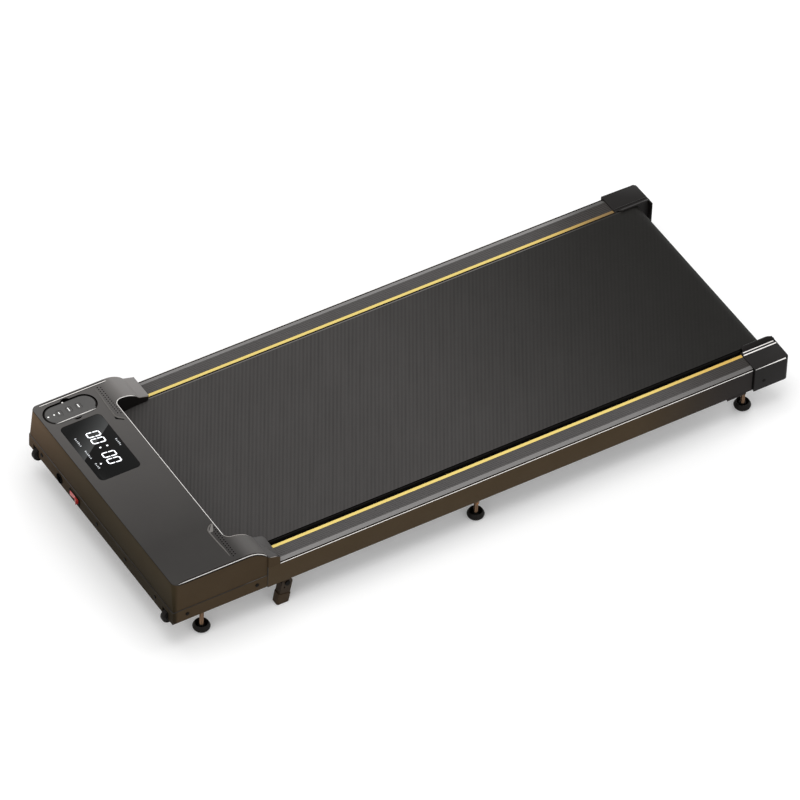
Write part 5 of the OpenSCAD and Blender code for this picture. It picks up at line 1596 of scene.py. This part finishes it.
@dataclass(frozen=True)
class Studio:
    """Camera, floor and lights."""

    aim: tuple[float, float, float] = (0.00639, -0.02233, 0.100)
    azimuth: float = -32.864
    elevation: float = 44.479
    distance: float = 14.262
    roll: float = 2.499
    focal_px: float = 8215.7
    image_px: int = 800

    def camera(self) -> None:
        """Place the camera on its bearing from the aim, and turn it by its roll about its own axis."""
        data = bpy.data.cameras.new("camera")
        data.sensor_width = 36.0
        data.lens = self.focal_px / self.image_px * data.sensor_width
        data.clip_end = 100
        eye = bpy.data.objects.new("camera", data)
        bpy.context.scene.collection.objects.link(eye)
        a, e = math.radians(self.azimuth), math.radians(self.elevation)
        out = Vector((math.cos(e) * math.cos(a), math.cos(e) * math.sin(a), math.sin(e)))
        eye.matrix_world = (
            Matrix.Translation(Vector(self.aim) + out * self.distance)
            @ out.to_track_quat("Z", "Y").to_matrix().to_4x4()
            @ Matrix.Rotation(math.radians(self.roll), 4, "Z")
        )
        bpy.context.scene.camera = eye

    def lamp(self, name: str, place: Sequence[float], size: tuple[float, float], watts: float) -> None:
        """A rectangular soft box that faces the pad."""
        data = bpy.data.lights.new(name, "AREA")
        data.shape = "RECTANGLE"
        data.size, data.size_y = size
        data.energy = watts
        thing = bpy.data.objects.new(name, data)
        bpy.context.scene.collection.objects.link(thing)
        thing.location = place
        thing.rotation_euler = (Vector((0, 0, 0.1)) - Vector(place)).to_track_quat("-Z", "Y").to_euler()

    def seen(self, tree: Tree) -> Socket:
        """One for the rays of the camera, of mirrors and of glass, and nought for the rest."""
        path = add_node(tree, "ShaderNodeLightPath")
        mirror = compute(tree, "MAXIMUM", path.outputs["Is Glossy Ray"], path.outputs["Is Transmission Ray"])
        return compute(tree, "MAXIMUM", path.outputs["Is Camera Ray"], mirror)

    def floor(self) -> None:
        """A large pale floor. To the camera it adds a little light of its own, so that it reads as white."""
        mesh = bpy.data.meshes.new("studio_floor")
        mesh.from_pydata([(-30, -30, 0), (30, -30, 0), (30, 30, 0), (-30, 30, 0)], [], [(0, 1, 2, 3)])
        material = bpy.data.materials.new("paper_matt_white")
        material.use_nodes = True
        tree = material.node_tree
        shader = tree.nodes["Principled BSDF"]
        shader.inputs["Base Color"].default_value = linear("ececec")
        shader.inputs["Roughness"].default_value = 0.9
        shader.inputs["Specular IOR Level"].default_value = 0.1
        strength = compute(tree, "MULTIPLY", self.seen(tree), 0.205)
        glow = add_node(tree, "ShaderNodeEmission", {"Color": (1, 1, 1, 1), "Strength": strength})
        both = add_node(tree, "ShaderNodeAddShader", {0: shader.outputs["BSDF"], 1: glow.outputs["Emission"]})
        tree.links.new(both.outputs["Shader"], tree.nodes["Material Output"].inputs["Surface"])
        mesh.materials.append(material)
        thing = bpy.data.objects.new("studio_floor", mesh)
        bpy.context.scene.collection.objects.link(thing)

    def world(self) -> None:
        """An even grey sky that camera, mirror and glass rays see as white."""
        world = bpy.data.worlds.new("studio")
        bpy.context.scene.world = world
        world.use_nodes = True
        tree = world.node_tree
        strength = compute(tree, "MAXIMUM", self.seen(tree), 0.56)
        tree.links.new(strength, tree.nodes["Background"].inputs["Strength"])
        tree.nodes["Background"].inputs["Color"].default_value = (1, 1, 1, 1)

    def build(self) -> None:
        """Set the studio up."""
        bpy.context.scene.view_settings.view_transform = "Standard"
        self.camera()
        self.floor()
        self.world()
        self.lamp("key_box", (0.1, -0.3, 3.6), (3.0, 3.0), 68)
        self.lamp("front_box", (1.6, -3.2, 1.7), (2.6, 1.4), 16)
        self.lamp("wing_box", (-2.0, 2.4, 1.1), (2.4, 1.0), 24)
        self.lamp("right_box", (3.4, 0.4, 1.8), (1.6, 2.6), 14)


CARRIED: tuple[tuple[Finish, tuple[str, ...]], ...] = (
    (Palette.POWDER, ("side_frame_left", "side_frame_right", "cross_tubes")),
    (Palette.HOOD_SIDE, ("base_tray",)),
    (Palette.BOARD, ("display_board", "control_board")),
    (Palette.DECK, ("deck_board",)),
    (Palette.CUSHION, ("deck_cushions",)),
    (Palette.ZINC, ("roller_shafts", "tension_bolts", "motor_bracket")),
    (Palette.TURNED, ("roller_bearings", "front_roller", "rear_roller", "motor_shaft")),
    (Palette.IRON, ("front_pulley", "motor_flywheel")),
    (Palette.MOTOR, ("motor_housing",)),
    (Palette.RUBBER, ("drive_belt",)),
    (Palette.SINK, ("heat_sink",)),
    (Palette.FITTING, ("power_inlet", "switch_housing")),
    (Palette.LEG, ("leg_left", "leg_right")),
    (Palette.SCREW, ("pivot_bolts", "cover_screws")),
)


def dress_frame(nodes: dict[str, bpy.types.Object]) -> None:
    """Give the CAD solids that stay visible their finishes."""
    for finish, names in CARRIED:
        for name in names:
            mesh = nodes[name].data
            mesh.materials.clear()
            mesh.materials.append(finish.build())
            LOG.info("%s: carried over, %s", name, finish.name)


def main() -> None:
    """Build the scene in order."""
    logging.basicConfig(level=logging.INFO, format="%(message)s")
    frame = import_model()
    Studio().build()
    dress_frame(frame["nodes"])
    for part in (Hood(), Display(), Remote(), Rails(), RunningBelt(), Footing(), Fasteners()):
        part.build()


if __name__ == "__main__":
    main()
